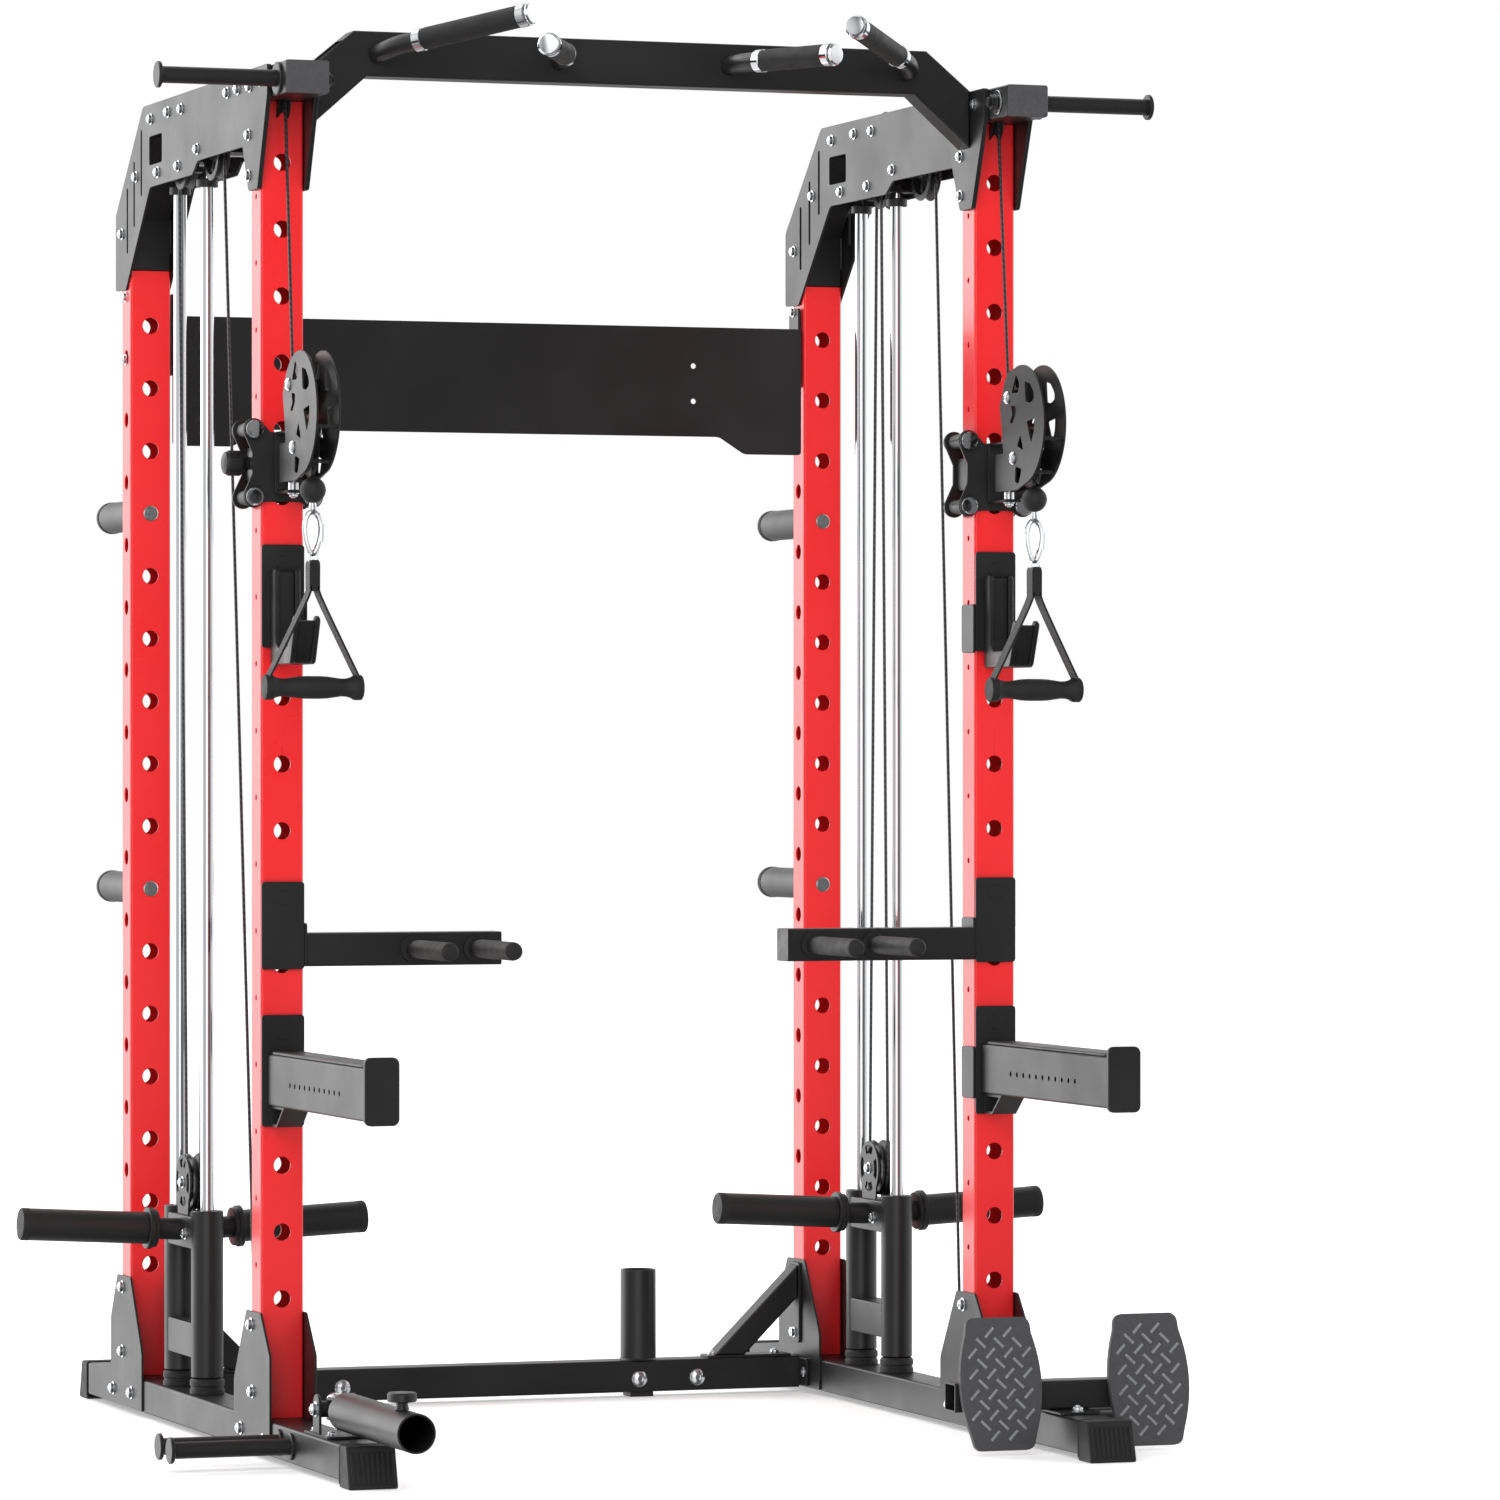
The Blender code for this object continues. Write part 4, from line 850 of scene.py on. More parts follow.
def top_beam(side, sign):
    x = sign * TOWER_X
    beam = plate("X", beam_outline(), x - HALF_W, x + HALF_W, 0.0)
    round_edges(beam, 0.003, 3, 60)
    cut(beam,
        plate("X", beam_outline(UP_WALL, 0.01), x - HALF_W + UP_WALL, x + HALF_W - UP_WALL, 0.0))
    for wheel, middle in ((FRONT_PULLEY, x), (DROP_PULLEY, x - sign * PULLEY_SHIFT)):
        half, reach = PULLEY_HALF + 0.002, PULLEY_R + 0.006
        slot = rounded((middle - half, middle + half), (wheel[0] - reach, wheel[0] + reach), 0.006)
        cut(beam, plate("Z", slot, HEAD_Z - 0.01, BEAM_TOP + 0.01, 0.0))
    seat(beam, f"top_tube_{side}", "black", "frame", f"top_beam_{side}")
    mouth = rounded((x - HALF_W + UP_WALL + 0.0002, x + HALF_W - UP_WALL - 0.0002),
                    (HEAD_Z + UP_WALL + 0.0002, BEAM_TOP - UP_WALL - 0.0002), 0.002)
    plug = plate("Y", mouth, BEAM_FRONT + TOUCH, BEAM_FRONT + 0.014, 0.0006)
    lid = plate("Y", rounded((x - HALF_W, x + HALF_W), (HEAD_Z, BEAM_TOP), 0.004),
                BEAM_FRONT - 0.0025,
                BEAM_FRONT - TOUCH, 0.0010)
    # The end plug takes the lighter grey coat used as painted light on the foot plates, so it reads
    # lighter than the tube.
    seat(join(plug, lid), f"top_tube_plug_{side}", "painted_light_grey", "frame")
    centre = (-0.097, HEAD_Z + 0.0245)
    outer = side_peg(centre, x + sign * (HALF_W + TOUCH), x, sign, 0.0245)
    seat(outer, f"strap_bar_{side}", "black", "frame")
    washer = rod("X", centre, 0.0190, x - sign * (HALF_W + TOUCH), x - sign * (HALF_W + 0.0026),
                 0.0006, 32)
    seat(washer, f"strap_bar_washer_{side}", "zinc", "frame")
    stub = plate("X", circle(centre, 0.0125, 6), x - sign * (HALF_W + 0.0027), x - sign * 0.0460,
                 0.0010)
    end = rod("X", centre, 0.0070, x - sign * 0.0458, x - sign * 0.0510, 0.0008, 24)
    seat(join(stub, end), f"strap_bar_nut_{side}", "black", "frame")


def side_plate_outline():
    top = BEAM_TOP + 0.001
    return [(-0.060, top), (-0.060, top - 0.045), (-0.005, HEAD_Z - 0.132),
            (UP_D - 0.009, HEAD_Z - 0.132), (0.078, HEAD_Z - 0.062), (0.350, HEAD_Z - 0.062),
            (0.382, HEAD_Z - 0.081), (DEPTH - 0.135, HEAD_Z - 0.081),
            (DEPTH + 0.017, REAR_TOP - 0.031),
            (DEPTH + 0.080, REAR_TOP - 0.029), (DEPTH + 0.080, REAR_TOP + 0.092),
            (DEPTH - 0.091, top)]


def gusset_outline():
    top = BEAM_TOP + 0.001
    return [(-0.060, top), (-0.060, top - 0.045), (-0.005, HEAD_Z - 0.132),
            (UP_D - 0.009, HEAD_Z - 0.132), (0.078, HEAD_Z - 0.062), (0.115, top)]


HEAD_BOLTS = ((0.630, 2.055), (0.525, 2.057), (0.444, 2.055), (0.175, 2.056), (0.588, 1.968),
              (0.464, 1.968),
              (0.350, 1.985), (0.723, 1.971), (0.812, 1.886))
GUSSET_BOLTS = ((0.102, 2.055), (0.035, 2.053), (-0.020, 2.057), (0.042, 1.981), (0.042, 1.920))


def head_plates(side, sign):
    x = sign * TOWER_X
    window = rounded((DEPTH - 0.209, DEPTH - 0.131), (HEAD_Z - 0.046, HEAD_Z - 0.001), 0.005)
    slots = [rounded((y - 0.004, y + 0.004), z, 0.0038) for y, z in
             ((0.691, (1.938, 2.043)), (0.736, (1.892, 1.996)), (0.779, (1.853, 1.957)))]
    for place, way in (("outer", sign), ("inner", -sign)):
        near, far = x + way * PLATE_IN, x + way * PLATE_OUT
        sheet = plate("X", soften(side_plate_outline(), 0.006), near, far, 0.0)
        tools = [plate("X", shape, near - way * 0.01, far + way * 0.01, 0.0)
                 for shape in (window, *slots)]
        cut(sheet, join(*tools))
        round_edges(sheet, 0.0005, 1, 50)
        seat(sheet, f"tower_plate_{place}_{side}", "black", "frame", f"head_plate_{place}_{side}")
        face = far
        if place == "outer":
            face = far + way * PLATE_T
            gusset = plate("X", soften(gusset_outline(), 0.005), far + way * TOUCH, face, 0.0005)
            seat(gusset, f"gusset_{side}", "black", "frame")
        bolts(f"tower_bolts_{place}_{side}", "frame", "nut", "X", way,
              [(far, y, z) for y, z in HEAD_BOLTS], 0.0085)
        if place == "inner":
            face = x + way * (PLATE_OUT + GAP + PLATE_T)
        bolts(f"gusset_bolts_{place}_{side}", "frame", "nut", "X", way,
              [(face, y, z) for y, z in GUSSET_BOLTS], 0.0085)
    posts = [(x + sign * HALF_W, 0.803, z) for z in (1.785, 1.685)]
    bolts(f"rear_post_bolts_{side}", "frame", "nut", "X", sign, posts, 0.0080)
    tabs = []
    for y in ROD_Y:
        tabs.append(
            block((x - PLATE_IN - 0.0005, y - 0.014, ROD_TOP + GAP),
                  (x + PLATE_IN + 0.0005, y + 0.014,
                                                                            ROD_TOP + GAP + 0.005),
                                                                            0.0005))
    seat(join(*tabs), f"rod_tabs_{side}", "black", "frame")


def pull_up_outline(inset=0.0, past=0.0):
    top = HEAD_Z + 0.110
    end = INNER_FACE - GAP - PLATE_T + TOUCH + past
    half = [(0.440, top - PULL_UP_H + inset), (end, top - PULL_UP_H - 0.081 + inset * 1.3),
            (end, top - 0.059 - inset * 1.3), (0.460, top - inset)]
    return [(-u, v) for u, v in reversed(half)] + half


def pull_up_beam():
    beam = plate("Y", pull_up_outline(), 0, PULL_UP_D, 0.0)
    round_edges(beam, 0.004, 3, 60)
    cut(beam, plate("Y", pull_up_outline(UP_WALL, 0.02), UP_WALL, PULL_UP_D - UP_WALL, 0.0))
    seat(beam, "pull_up_tube", "black", "frame", "pull_up_beam")
    for side, sign in SIDES:
        sheet = plate("X", soften(gusset_outline(), 0.005), sign * (INNER_FACE - GAP),
                      sign * (INNER_FACE - GAP - PLATE_T), 0.0005)
        seat(sheet, f"pull_up_end_{side}", "black", "frame")
        grips(side, sign)


def grips(side, sign):
    """Two bent grips: rubber sleeves, chrome collars at both ends of each sleeve, chrome tips."""
    z = HEAD_Z + 0.110 - PULL_UP_H / 2
    outer = [(0.424, -0.0002, z), (0.424, -0.022, z), (0.410, -0.050, z + 0.008),
             (0.257, -0.229, z + 0.043)]
    inner = [(0.137, -0.0002, z), (0.137, -0.035, z), (0.146, -0.070, z), (0.226, -0.223, z)]
    bars, sleeves, collars = [], [], []
    for line, bend, gap in ((outer, 0.020, 0.052), (inner, 0.025, 0.030)):
        points = [Vector((sign * a, b, c)) for a, b, c in line]
        bars.append(swept(round_corners(points, bend), 0.0145, 24))
        run = (points[3] - points[2]).normalized()
        length = (points[3] - points[2]).length
        start = points[2] + run * gap
        length -= gap - 0.016
        sleeves.append(ferrule(start, run, [(0, 0.0160), (0.004, 0.0168), (length - 0.038, 0.0168),
                                            (length - 0.034, 0.0160)], 36))
        for offset in (-0.0155, length - 0.0335):
            collars.append(
                ferrule(start + run * offset, run, [(0, 0.0162), (0.001, 0.0174), (0.0138, 0.0174),
                                                               (0.0148, 0.0162)], 36))
        collars.append(ferrule(start + run * (length - 0.0185), run, [(0, 0.0150), (0.004, 0.0160),
                                                                      (0.0065, 0.0140),
                                                                      (0.0075, 0.0090)], 36))
    seat(join(*bars), f"grip_bars_{side}", "black", "frame")
    seat(join(*sleeves), f"grip_sleeves_{side}", "rubber", "frame")
    seat(join(*collars), f"grip_collars_{side}", "chrome", "frame")


def round_corners(points, radius, count=6):
    """The line with each inner corner rounded."""
    line = [points[0]]
    for a, b, c in zip(points, points[1:], points[2:]):
        first = b + (a - b).normalized() * min(radius, (a - b).length / 2)
        last = b + (c - b).normalized() * min(radius, (c - b).length / 2)
        for k in range(count):
            t = k / (count - 1)
            line.append(first * (1 - t) ** 2 + b * 2 * t * (1 - t) + last * t ** 2)
    return [*line, points[-1]]


def ferrule(start, way, profile, steps=32):
    """A turned piece that starts at a point and runs along a direction."""
    piece = turned("Z", (0, 0, 0), profile, steps)
    turn = Vector(way).to_track_quat("Z", "Y").to_matrix().to_4x4()
    piece.data.transform(Matrix.Translation(start) @ turn)
    return piece


def back_panel():
    end = INNER_FACE - GAP
    top = REAR_TOP - 0.071
    half = [(0.392, top - 0.180), (0.436, top - 0.208), (end, top - 0.208), (end, top)]
    outline = [(-u, v) for u, v in reversed(half)] + half
    front = DEPTH + 0.002
    sheet = plate("Y", soften(outline, 0.006), front, front + 0.004, 0.0)
    holes = [(s * 0.347, z) for s in (-1, 1) for z in (1.691, 1.633)]
    sheet = drill(sheet, "Y", holes, 0.0045, front - 0.01, front + 0.02, 24)
    round_edges(sheet, 0.0006, 1, 50)
    flanges = [
        plate("X", rounded((front + 0.0041, front + 0.048), (top - 0.095, REAR_TOP - 0.036), 0.004),
                     s * end, s * (end - 0.004)) for _, s in SIDES]
    lips = [plate("X", rounded((front + 0.0041, front + 0.020), (top - 0.172, top - 0.004), 0.003),
                  s * 0.330, s * 0.326) for _, s in SIDES]
    seat(join(sheet, *flanges, *lips), "rear_panel", "black", "frame", "back_panel")
    for side, sign in SIDES:
        places = [(sign * (end - 0.004), 0.803, z) for z in (1.785, 1.685)]
        bolts(f"rear_panel_bolts_{side}", "frame", "nut", "X", -sign, places, 0.0080)


# --- towers ---------------------------------------------------------------------------
def guide_rods(side, sign):
    x = sign * TOWER_X
    for place, y in zip(("front", "rear"), ROD_Y):
        shaft = rod("Z", (x, y), ROD_R, RAIL_TOP + 0.002, ROD_TOP, 0.0008, 48)
        seat(shaft, f"chrome_rod_{place}_{side}", "chrome", "frame", f"guide_rod_{place}_{side}")
        ring = [(RAIL_TOP + 0.0004, 0.0270), (RAIL_TOP + 0.0070, 0.0270),
                (RAIL_TOP + 0.0085, 0.0255),
                (RAIL_TOP + 0.0120, 0.0255), (RAIL_TOP + 0.0135, 0.0270),
                (RAIL_TOP + 0.0205, 0.0268),
                (RAIL_TOP + BUMPER_H, 0.0240), (RAIL_TOP + BUMPER_H, 0.0112),
                (RAIL_TOP + 0.0004, 0.0112),
                (RAIL_TOP + 0.0004, 0.0270)]
        seat(turned("Z", (x, y, 0), ring, 40), f"bumper_{place}_{side}", "rubber", "frame")
        low, high = ROD_TOP - 0.022, ROD_TOP - 0.009
        ring = [(low, 0.0158), (low + 0.001, 0.0170), (high - 0.001, 0.0170), (high, 0.0158),
                (high, 0.0106),
                (low, 0.0106), (low, 0.0158)]
        seat(turned("Z", (x, y, 0), ring, 40), f"rod_collar_{place}_{side}", "nylon", "frame")


def wheel_model(radius):
    """A grooved pulley along X at the origin: hub, thin web with five windows, and rim."""
    half, root = PULLEY_HALF, radius - GROOVE_DEPTH
    edge = [(half, radius - 0.0006), (half - 0.0006, radius), (half - 0.0018, radius - 0.0003)]
    groove = [(CABLE_R * 1.15 * math.cos(a), root + 0.0030 - CABLE_R * 1.15 * math.sin(a))
              for a in [math.radians(k) for k in (20, 45, 70, 90)]]
    face = [(half - 0.0045, 0.0135), (half - 0.0045, radius - 0.0125),
            (half - 0.0012, radius - 0.0105),
            (half, radius - 0.0095)]
    right = [(half + 0.0008, 0.0095), (half + 0.0008, 0.0125), *face, *edge, *groove]
    piece = turned("X", (0, 0, 0), right + [(-a, r) for a, r in reversed(right)][1:], 60)
    windows = []
    for i in range(5):
        first = 72 * i + 12
        shape = arc((0, 0), (radius - 0.0145, radius - 0.0145), first, first + 48, 9)
        shape += arc((0, 0), (0.0165, 0.0165), first + 44, first + 4, 7)
        windows.append(plate("X", shape, -0.02, 0.02, 0.0))
    return cut(piece, join(*windows))


WHEELS = {radius: wheel_model(radius) for radius in (PULLEY_R, BASE_PULLEY_R)}


def wheel(name, x, centre, axle, radius, offset, node):
    piece = copy(WHEELS[radius], Matrix.Translation((x + offset, *centre)))
    seat(piece, name, "nylon", node, node)
    pin = turned("X", (x, *centre),
                 [(-axle, 0.0068), (-axle + 0.0005, 0.0078), (axle - 0.0005, 0.0078),
                                     (axle, 0.0068)], 24)
    seat(pin, f"{name}_axle", "zinc", node)


def tower_pulleys(side, sign):
    x = sign * TOWER_X
    beam = HALF_W - UP_WALL - 0.001
    plates = PLATE_IN - 0.0006
    offset = sign * PULLEY_SHIFT
    for name, centre, axle, radius, slide in (
            ("front_top_pulley", FRONT_PULLEY, beam, PULLEY_R, 0),
            ("drop_pulley", DROP_PULLEY, beam, PULLEY_R, -offset),
            ("rear_top_pulley", REAR_PULLEY, plates, PULLEY_R, offset),
            ("slant_pulley", SLANT_PULLEY, plates, PULLEY_R, offset),
            ("base_pulley", BASE_PULLEY, plates, BASE_PULLEY_R, 0),
            ("carriage_pulley", CARRIAGE_PULLEY, PULLEY_HALF + 0.004, PULLEY_R, 0),
            ("swivel_upper_pulley", UPPER_PULLEY, SWIVEL_HALF - 0.0006, PULLEY_R, 0),
            ("swivel_lower_pulley", LOWER_PULLEY, SWIVEL_HALF - 0.0006, PULLEY_R, 0)):
        wheel(f"{name}_wheel_{side}", x, centre, axle, radius, slide, f"{name}_{side}")


def weight_carriage(side, sign):
    x = sign * TOWER_X
    body = f"weight_carriage_{side}"
    low = RAIL_TOP + BUMPER_H + 0.0013
    high = low + 0.259
    sleeves = []
    for y in ROD_Y:
        ring = [(low, 0.0235), (low + 0.0015, 0.0250), (high - 0.0015, 0.0250), (high, 0.0235),
                (high, 0.0122),
                (high - 0.001, 0.0115), (low, 0.0115), (low, 0.0235)]
        sleeves.append(turned("Z", (x, y, 0), ring, 48))
    inner = (ROD_Y[0] + 0.0245, ROD_Y[1] - 0.0245)
    web = block((x - 0.0225, inner[0] - 0.018, low + 0.030),
                (x + 0.0225, inner[1] + 0.018, low + 0.084), 0.0025)
    core = block((x - 0.0225, inner[0] - 0.018, PEG_Z - 0.026),
                 (x + 0.0225, inner[1] + 0.018, PEG_Z + 0.024), 0.0025)
    seat(join(*sleeves, web, core), f"carriage_{side}", "black", body, body)
    windows = [crescent(CARRIAGE_PULLEY, 0.0370, 0.0240, start, start + 56)
               for start in (62, 152, 242, 332)]
    for place, k in (("outer", sign), ("inner", -sign)):
        ear = [(CARRIAGE_Y - 0.030, PEG_Z + 0.0242), (CARRIAGE_Y + 0.030, PEG_Z + 0.0242),
               *arc(CARRIAGE_PULLEY, (0.0435, 0.0435), -40, 220, 30)]
        near = x + k * (PULLEY_HALF + 0.005)
        sheet = plate("X", ear, near, near + k * 0.003, 0.0)
        cut(sheet,
            join(*[plate("X", shape, near - k * 0.01, near + k * 0.02, 0.0) for shape in windows]))
        round_edges(sheet, 0.0004, 1, 50)
        seat(sheet, f"carriage_ear_{place}_{side}", "black", body)
        bolts(f"carriage_side_bolt_{place}_{side}", body, "nut", "X", k,
              [(x + k * 0.0225, 0.476, 0.306)], 0.0085)
    heads = [(x + k * (PULLEY_HALF + 0.008), *CARRIAGE_PULLEY) for k in (1,)]
    bolts(f"carriage_axle_bolt_{side}", body, "nut", "X", 1, heads, 0.0085)
    bolts(f"carriage_axle_head_{side}", body, "nut", "X", -1,
          [(x - PULLEY_HALF - 0.008, *CARRIAGE_PULLEY)], 0.0085)
    for end, k in (("outer", sign), ("inner", -sign)):
        turn = Matrix.Rotation(-PEG_TILT, 4, "Y")
        if k < 0:
            turn = Matrix.Rotation(math.pi, 4, "Z") @ turn
        place = Matrix.Translation((x, CARRIAGE_Y, PEG_Z)) @ turn
        root = turned("X", (0, 0, 0),
                      [(0.019, 0.017), (0.0610, 0.017), (0.0612, 0.0290), (0.0622, 0.0300),
                                       (0.0675, 0.0300), (0.0680, 0.0315), (0.0690, 0.0325),
                                       (0.0762, 0.0325),
                                       (0.0770, 0.0315), (0.0770, 0.0252)], 40)
        sleeve = turned("X", (0, 0, 0),
                        [(0.0772, 0.0245), (0.0782, 0.0250), (0.2655, 0.0250), (0.2655, 0.0222),
                                         (0.0772, 0.0222), (0.0772, 0.0245)], 48)
        cap = turned("X", (0, 0, 0),
                     [(0.2560, 0.0218), (0.2656, 0.0218), (0.2656, 0.0253), (0.2755, 0.0253),
                                      (0.2780, 0.0238), (0.2784, 0.0130)], 48)
        for piece in (root, sleeve, cap):
            piece.data.transform(place)
        seat(root, f"plate_stop_{end}_{side}", "black", body)
        seat(sleeve, f"plate_peg_{end}_{side}", "black", body)
        seat(cap, f"plate_peg_cap_{end}_{side}", "rubber", body)


def trolley(side, sign):
    """Two waisted plates, four rollers, webs, the swivel's lugs and the pin's knob."""
    x = sign * TOWER_X
    body = f"trolley_{side}"
    roller_x = HALF_W + 0.0120
    front, rear = (-0.0055, -0.0015), (UP_D + 0.0015, UP_D + 0.0055)
    wide = roller_x + 0.013
    lobe = (0.0165, 0.0165)
    half = [(0.020, 0.046), *arc((roller_x, 0.050), lobe, 150, -25, 10), (wide - 0.011, 0.014),
            (wide - 0.011, -0.016),
            *arc((roller_x, -0.051), lobe, 25, -150, 10), (0.020, -0.058)]
    waist = half + [(-u, v) for u, v in reversed(half)]
    plates = [plate("Y", [(x + u, TROLLEY_Z + v) for u, v in waist], *y, 0.0005)
              for y in (front, rear)]
    rest = block((x - 0.014, -0.0095, TROLLEY_Z - 0.047),
                 (x + 0.014, front[0] - TOUCH, TROLLEY_Z + 0.046), 0.001)
    lugs = [block((x - 0.0135, SWIVEL_Y - 0.017, z), (x + 0.0135, -0.0096, z + 0.004), 0.0008)
            for z in (TROLLEY_Z - 0.047, TROLLEY_Z + 0.042)]
    anchor = UP_D / 2 + 0.0498
    hold = block((x - 0.006, rear[1] + TOUCH, TROLLEY_Z - 0.058),
                 (x + 0.006, anchor + 0.006, TROLLEY_Z - 0.038), 0.001)
    seat(join(*plates, rest, *lugs, hold), f"trolley_plates_{side}", "black", body, body)
    webs, rollers, discs = [], [], []
    for k in (-1, 1):
        near = x + k * (HALF_W + 0.004)
        webs.append(block((min(near, near + k * 0.004), front[1] + TOUCH, TROLLEY_Z - 0.026),
                          (max(near, near + k * 0.004), rear[0] - TOUCH, TROLLEY_Z + 0.024), 0.001))
        for dz in (0.050, -0.051):
            at = (x + k * roller_x, 0, TROLLEY_Z + dz)
            rollers.append(
                turned("Y", at,
                       [(front[1] + 0.0004, 0.0096), (front[1] + 0.0016, 0.0113),
                        (rear[0] - 0.0016, 0.0113),
                                            (rear[0] - 0.0004, 0.0096)], 32))
            for face, way in ((front[0], -1), (rear[1], 1)):
                ring = [(TOUCH, 0.0155), (0.0038, 0.0157), (0.0046, 0.0149), (0.0046, 0.0138),
                        (TOUCH, 0.0138),
                        (TOUCH, 0.0155)]
                rollers.append(
                    turned("Y", (at[0], face, at[2]), [(way * a, r) for a, r in ring], 32))
                disc = [(TOUCH, 0.0137), (0.0050, 0.0137), (0.0060, 0.0129), (0.0062, 0.0110)]
                discs.append(turned("Y", (at[0], face, at[2]), [(way * a, r) for a, r in disc], 32))
    seat(join(*webs), f"trolley_webs_{side}", "black", body)
    seat(join(*rollers), f"trolley_rollers_{side}", "nylon", body)
    seat(join(*discs), f"trolley_discs_{side}", "chrome", body)
    nuts = [(x, SWIVEL_Y, TROLLEY_Z - 0.047)]
    bolts(f"swivel_nut_{side}", body, "nut", "Z", -1, nuts, 0.0080)
    bolts(f"swivel_bolt_{side}", body, "dome", "Z", 1, [(x, SWIVEL_Y, TROLLEY_Z + 0.046)], 0.0100)
    neck = turned("X", (x, UP_D / 2, TROLLEY_Z), [(sign * a, r) for a, r in
                  [(HALF_W + 0.0081, 0.0100), (HALF_W + 0.0128, 0.0100), (HALF_W + 0.0135, 0.0092),
                   (HALF_W + 0.0135, 0.0056),
                   (HALF_W + 0.0081, 0.0056), (HALF_W + 0.0081, 0.0100)]], 32)
    seat(neck, f"pin_neck_{side}", "zinc", body)
    pin = turned("X", (x, UP_D / 2, TROLLEY_Z), [(sign * a, r) for a, r in
                 [(HALF_W + 0.0006, 0.0036), (HALF_W + 0.0016, 0.0045), (HALF_W + 0.0180, 0.0045)]],
                 24)
    seat(pin, f"pin_{side}", "zinc", f"trolley_pin_{side}")
    knob(side, sign, x)


def knob(side, sign, x):
    """Ribbed knob: eighteen grips round a drum with a domed end and a narrow neck."""
    start = HALF_W + 0.0142
    drum = turned("X", (0, 0, 0),
                  [(start, 0.0120), (start + 0.004, 0.0125), (start + 0.009, 0.0175),
                   (start + 0.011, 0.0180),
                                   (start + 0.030, 0.0180), (start + 0.035, 0.0160),
                                   (start + 0.0375, 0.0110),
                                   (start + 0.0385, 0.0050)], 54)
    ribs = []
    for i in range(18):
        rib = block((start + 0.0105, -0.0014, 0.0165), (start + 0.0305, 0.0014, 0.0190), 0.0009)
        rib.data.transform(Matrix.Rotation(2 * math.pi * i / 18, 4, "X"))
        ribs.append(rib)
    piece = join(drum, *ribs)
    if sign < 0:
        piece.data.transform(Matrix.Rotation(math.pi, 4, "Z"))
    shift(piece, x, UP_D / 2, TROLLEY_Z)
    seat(piece, f"pin_knob_{side}", "nylon", f"trolley_pin_{side}", f"trolley_pin_{side}")


def swivel_outline():
    heel = SWIVEL_Y + 0.010
    nose = arc((SWIVEL_Y - 0.096, TROLLEY_Z + 0.068), (0.094, 0.092), 20, 250, 44)
    return [*nose, (SWIVEL_Y - 0.075, TROLLEY_Z - 0.031), (heel, TROLLEY_Z - 0.031),
            (heel, TROLLEY_Z + 0.027), (SWIVEL_Y - 0.022, TROLLEY_Z + 0.027),
            (SWIVEL_Y - 0.018, TROLLEY_Z + 0.057)]


def crescent(centre, outer, inner, start, end):
    return arc(centre, (outer, outer), start, end, 12) + arc(centre, (inner, inner), end, start, 12)


def swivel(side, sign):
    x = sign * TOWER_X
    body = f"swivel_housing_{side}"
    up, low = UPPER_PULLEY, LOWER_PULLEY
    shapes = [[(-0.0165, 0.006), (-0.034, 0.034), (-0.048, 0.020), (-0.042, 0.006)],
              [(-0.070, 0.022), (-0.090, 0.018), (-0.106, 0.004), (-0.108, -0.006),
               (-0.092, -0.012), (-0.074, -0.010)],
              [(-0.014, -0.013), (-0.033, -0.015), (-0.032, -0.028), (-0.020, -0.040),
               (-0.008, -0.039), (-0.020, -0.027)],
              [(-0.078, -0.040), (-0.110, -0.0355), (-0.108, -0.055), (-0.096, -0.073)],
              [(-0.052, -0.0585), (-0.039, -0.076), (-0.064, -0.083)],
              [(-0.0325, -0.1064), (-0.057, -0.112), (-0.046, -0.133), (-0.0305, -0.131)]]
    windows = [soften([(up[0] + u, up[1] + v) for u, v in shape], 0.004) for shape in shapes]
    for place, k in (("outer", sign), ("inner", -sign)):
        near = x + k * SWIVEL_HALF
        sheet = plate("X", soften(swivel_outline(), 0.003, 3), near, near + k * SWIVEL_T, 0.0)
        tools = [plate("X", shape, near - k * 0.01, near + k * 0.02, 0.0) for shape in windows]
        cut(sheet, join(*tools))
        round_edges(sheet, 0.0005, 1, 50)
        seat(sheet, f"swivel_plate_{place}_{side}", "black", body, *([body] if k > 0 else []))
        face = near + k * SWIVEL_T
        places = [(face, *up), (face, *low)]
        bolts(f"swivel_axle_bolts_{place}_{side}", body, "dome", "X", k, places, 0.0105)
    post = rod("Z", (x, SWIVEL_Y), 0.008, TROLLEY_Z - 0.0427, TROLLEY_Z + 0.0417, 0.0006, 32)
    core = block((x - SWIVEL_HALF + TOUCH, SWIVEL_Y - 0.012, TROLLEY_Z - 0.028),
                 (x + SWIVEL_HALF - TOUCH, SWIVEL_Y + 0.008, TROLLEY_Z + 0.024), 0.001)
    seat(core, f"swivel_core_{side}", "black", body)
    bars = []
    for angle in (196, 238):
        at = arc((SWIVEL_Y - 0.096, TROLLEY_Z + 0.068), (0.0880, 0.0860), angle, angle + 1, 2)[0]
        bars.append(
            rod("X", at, 0.0030, x - SWIVEL_HALF + TOUCH, x + SWIVEL_HALF - TOUCH, 0.0003, 16))
    seat(join(*bars), f"swivel_spacers_{side}", "black", body)
    seat(post, f"swivel_post_{side}", "zinc", body)


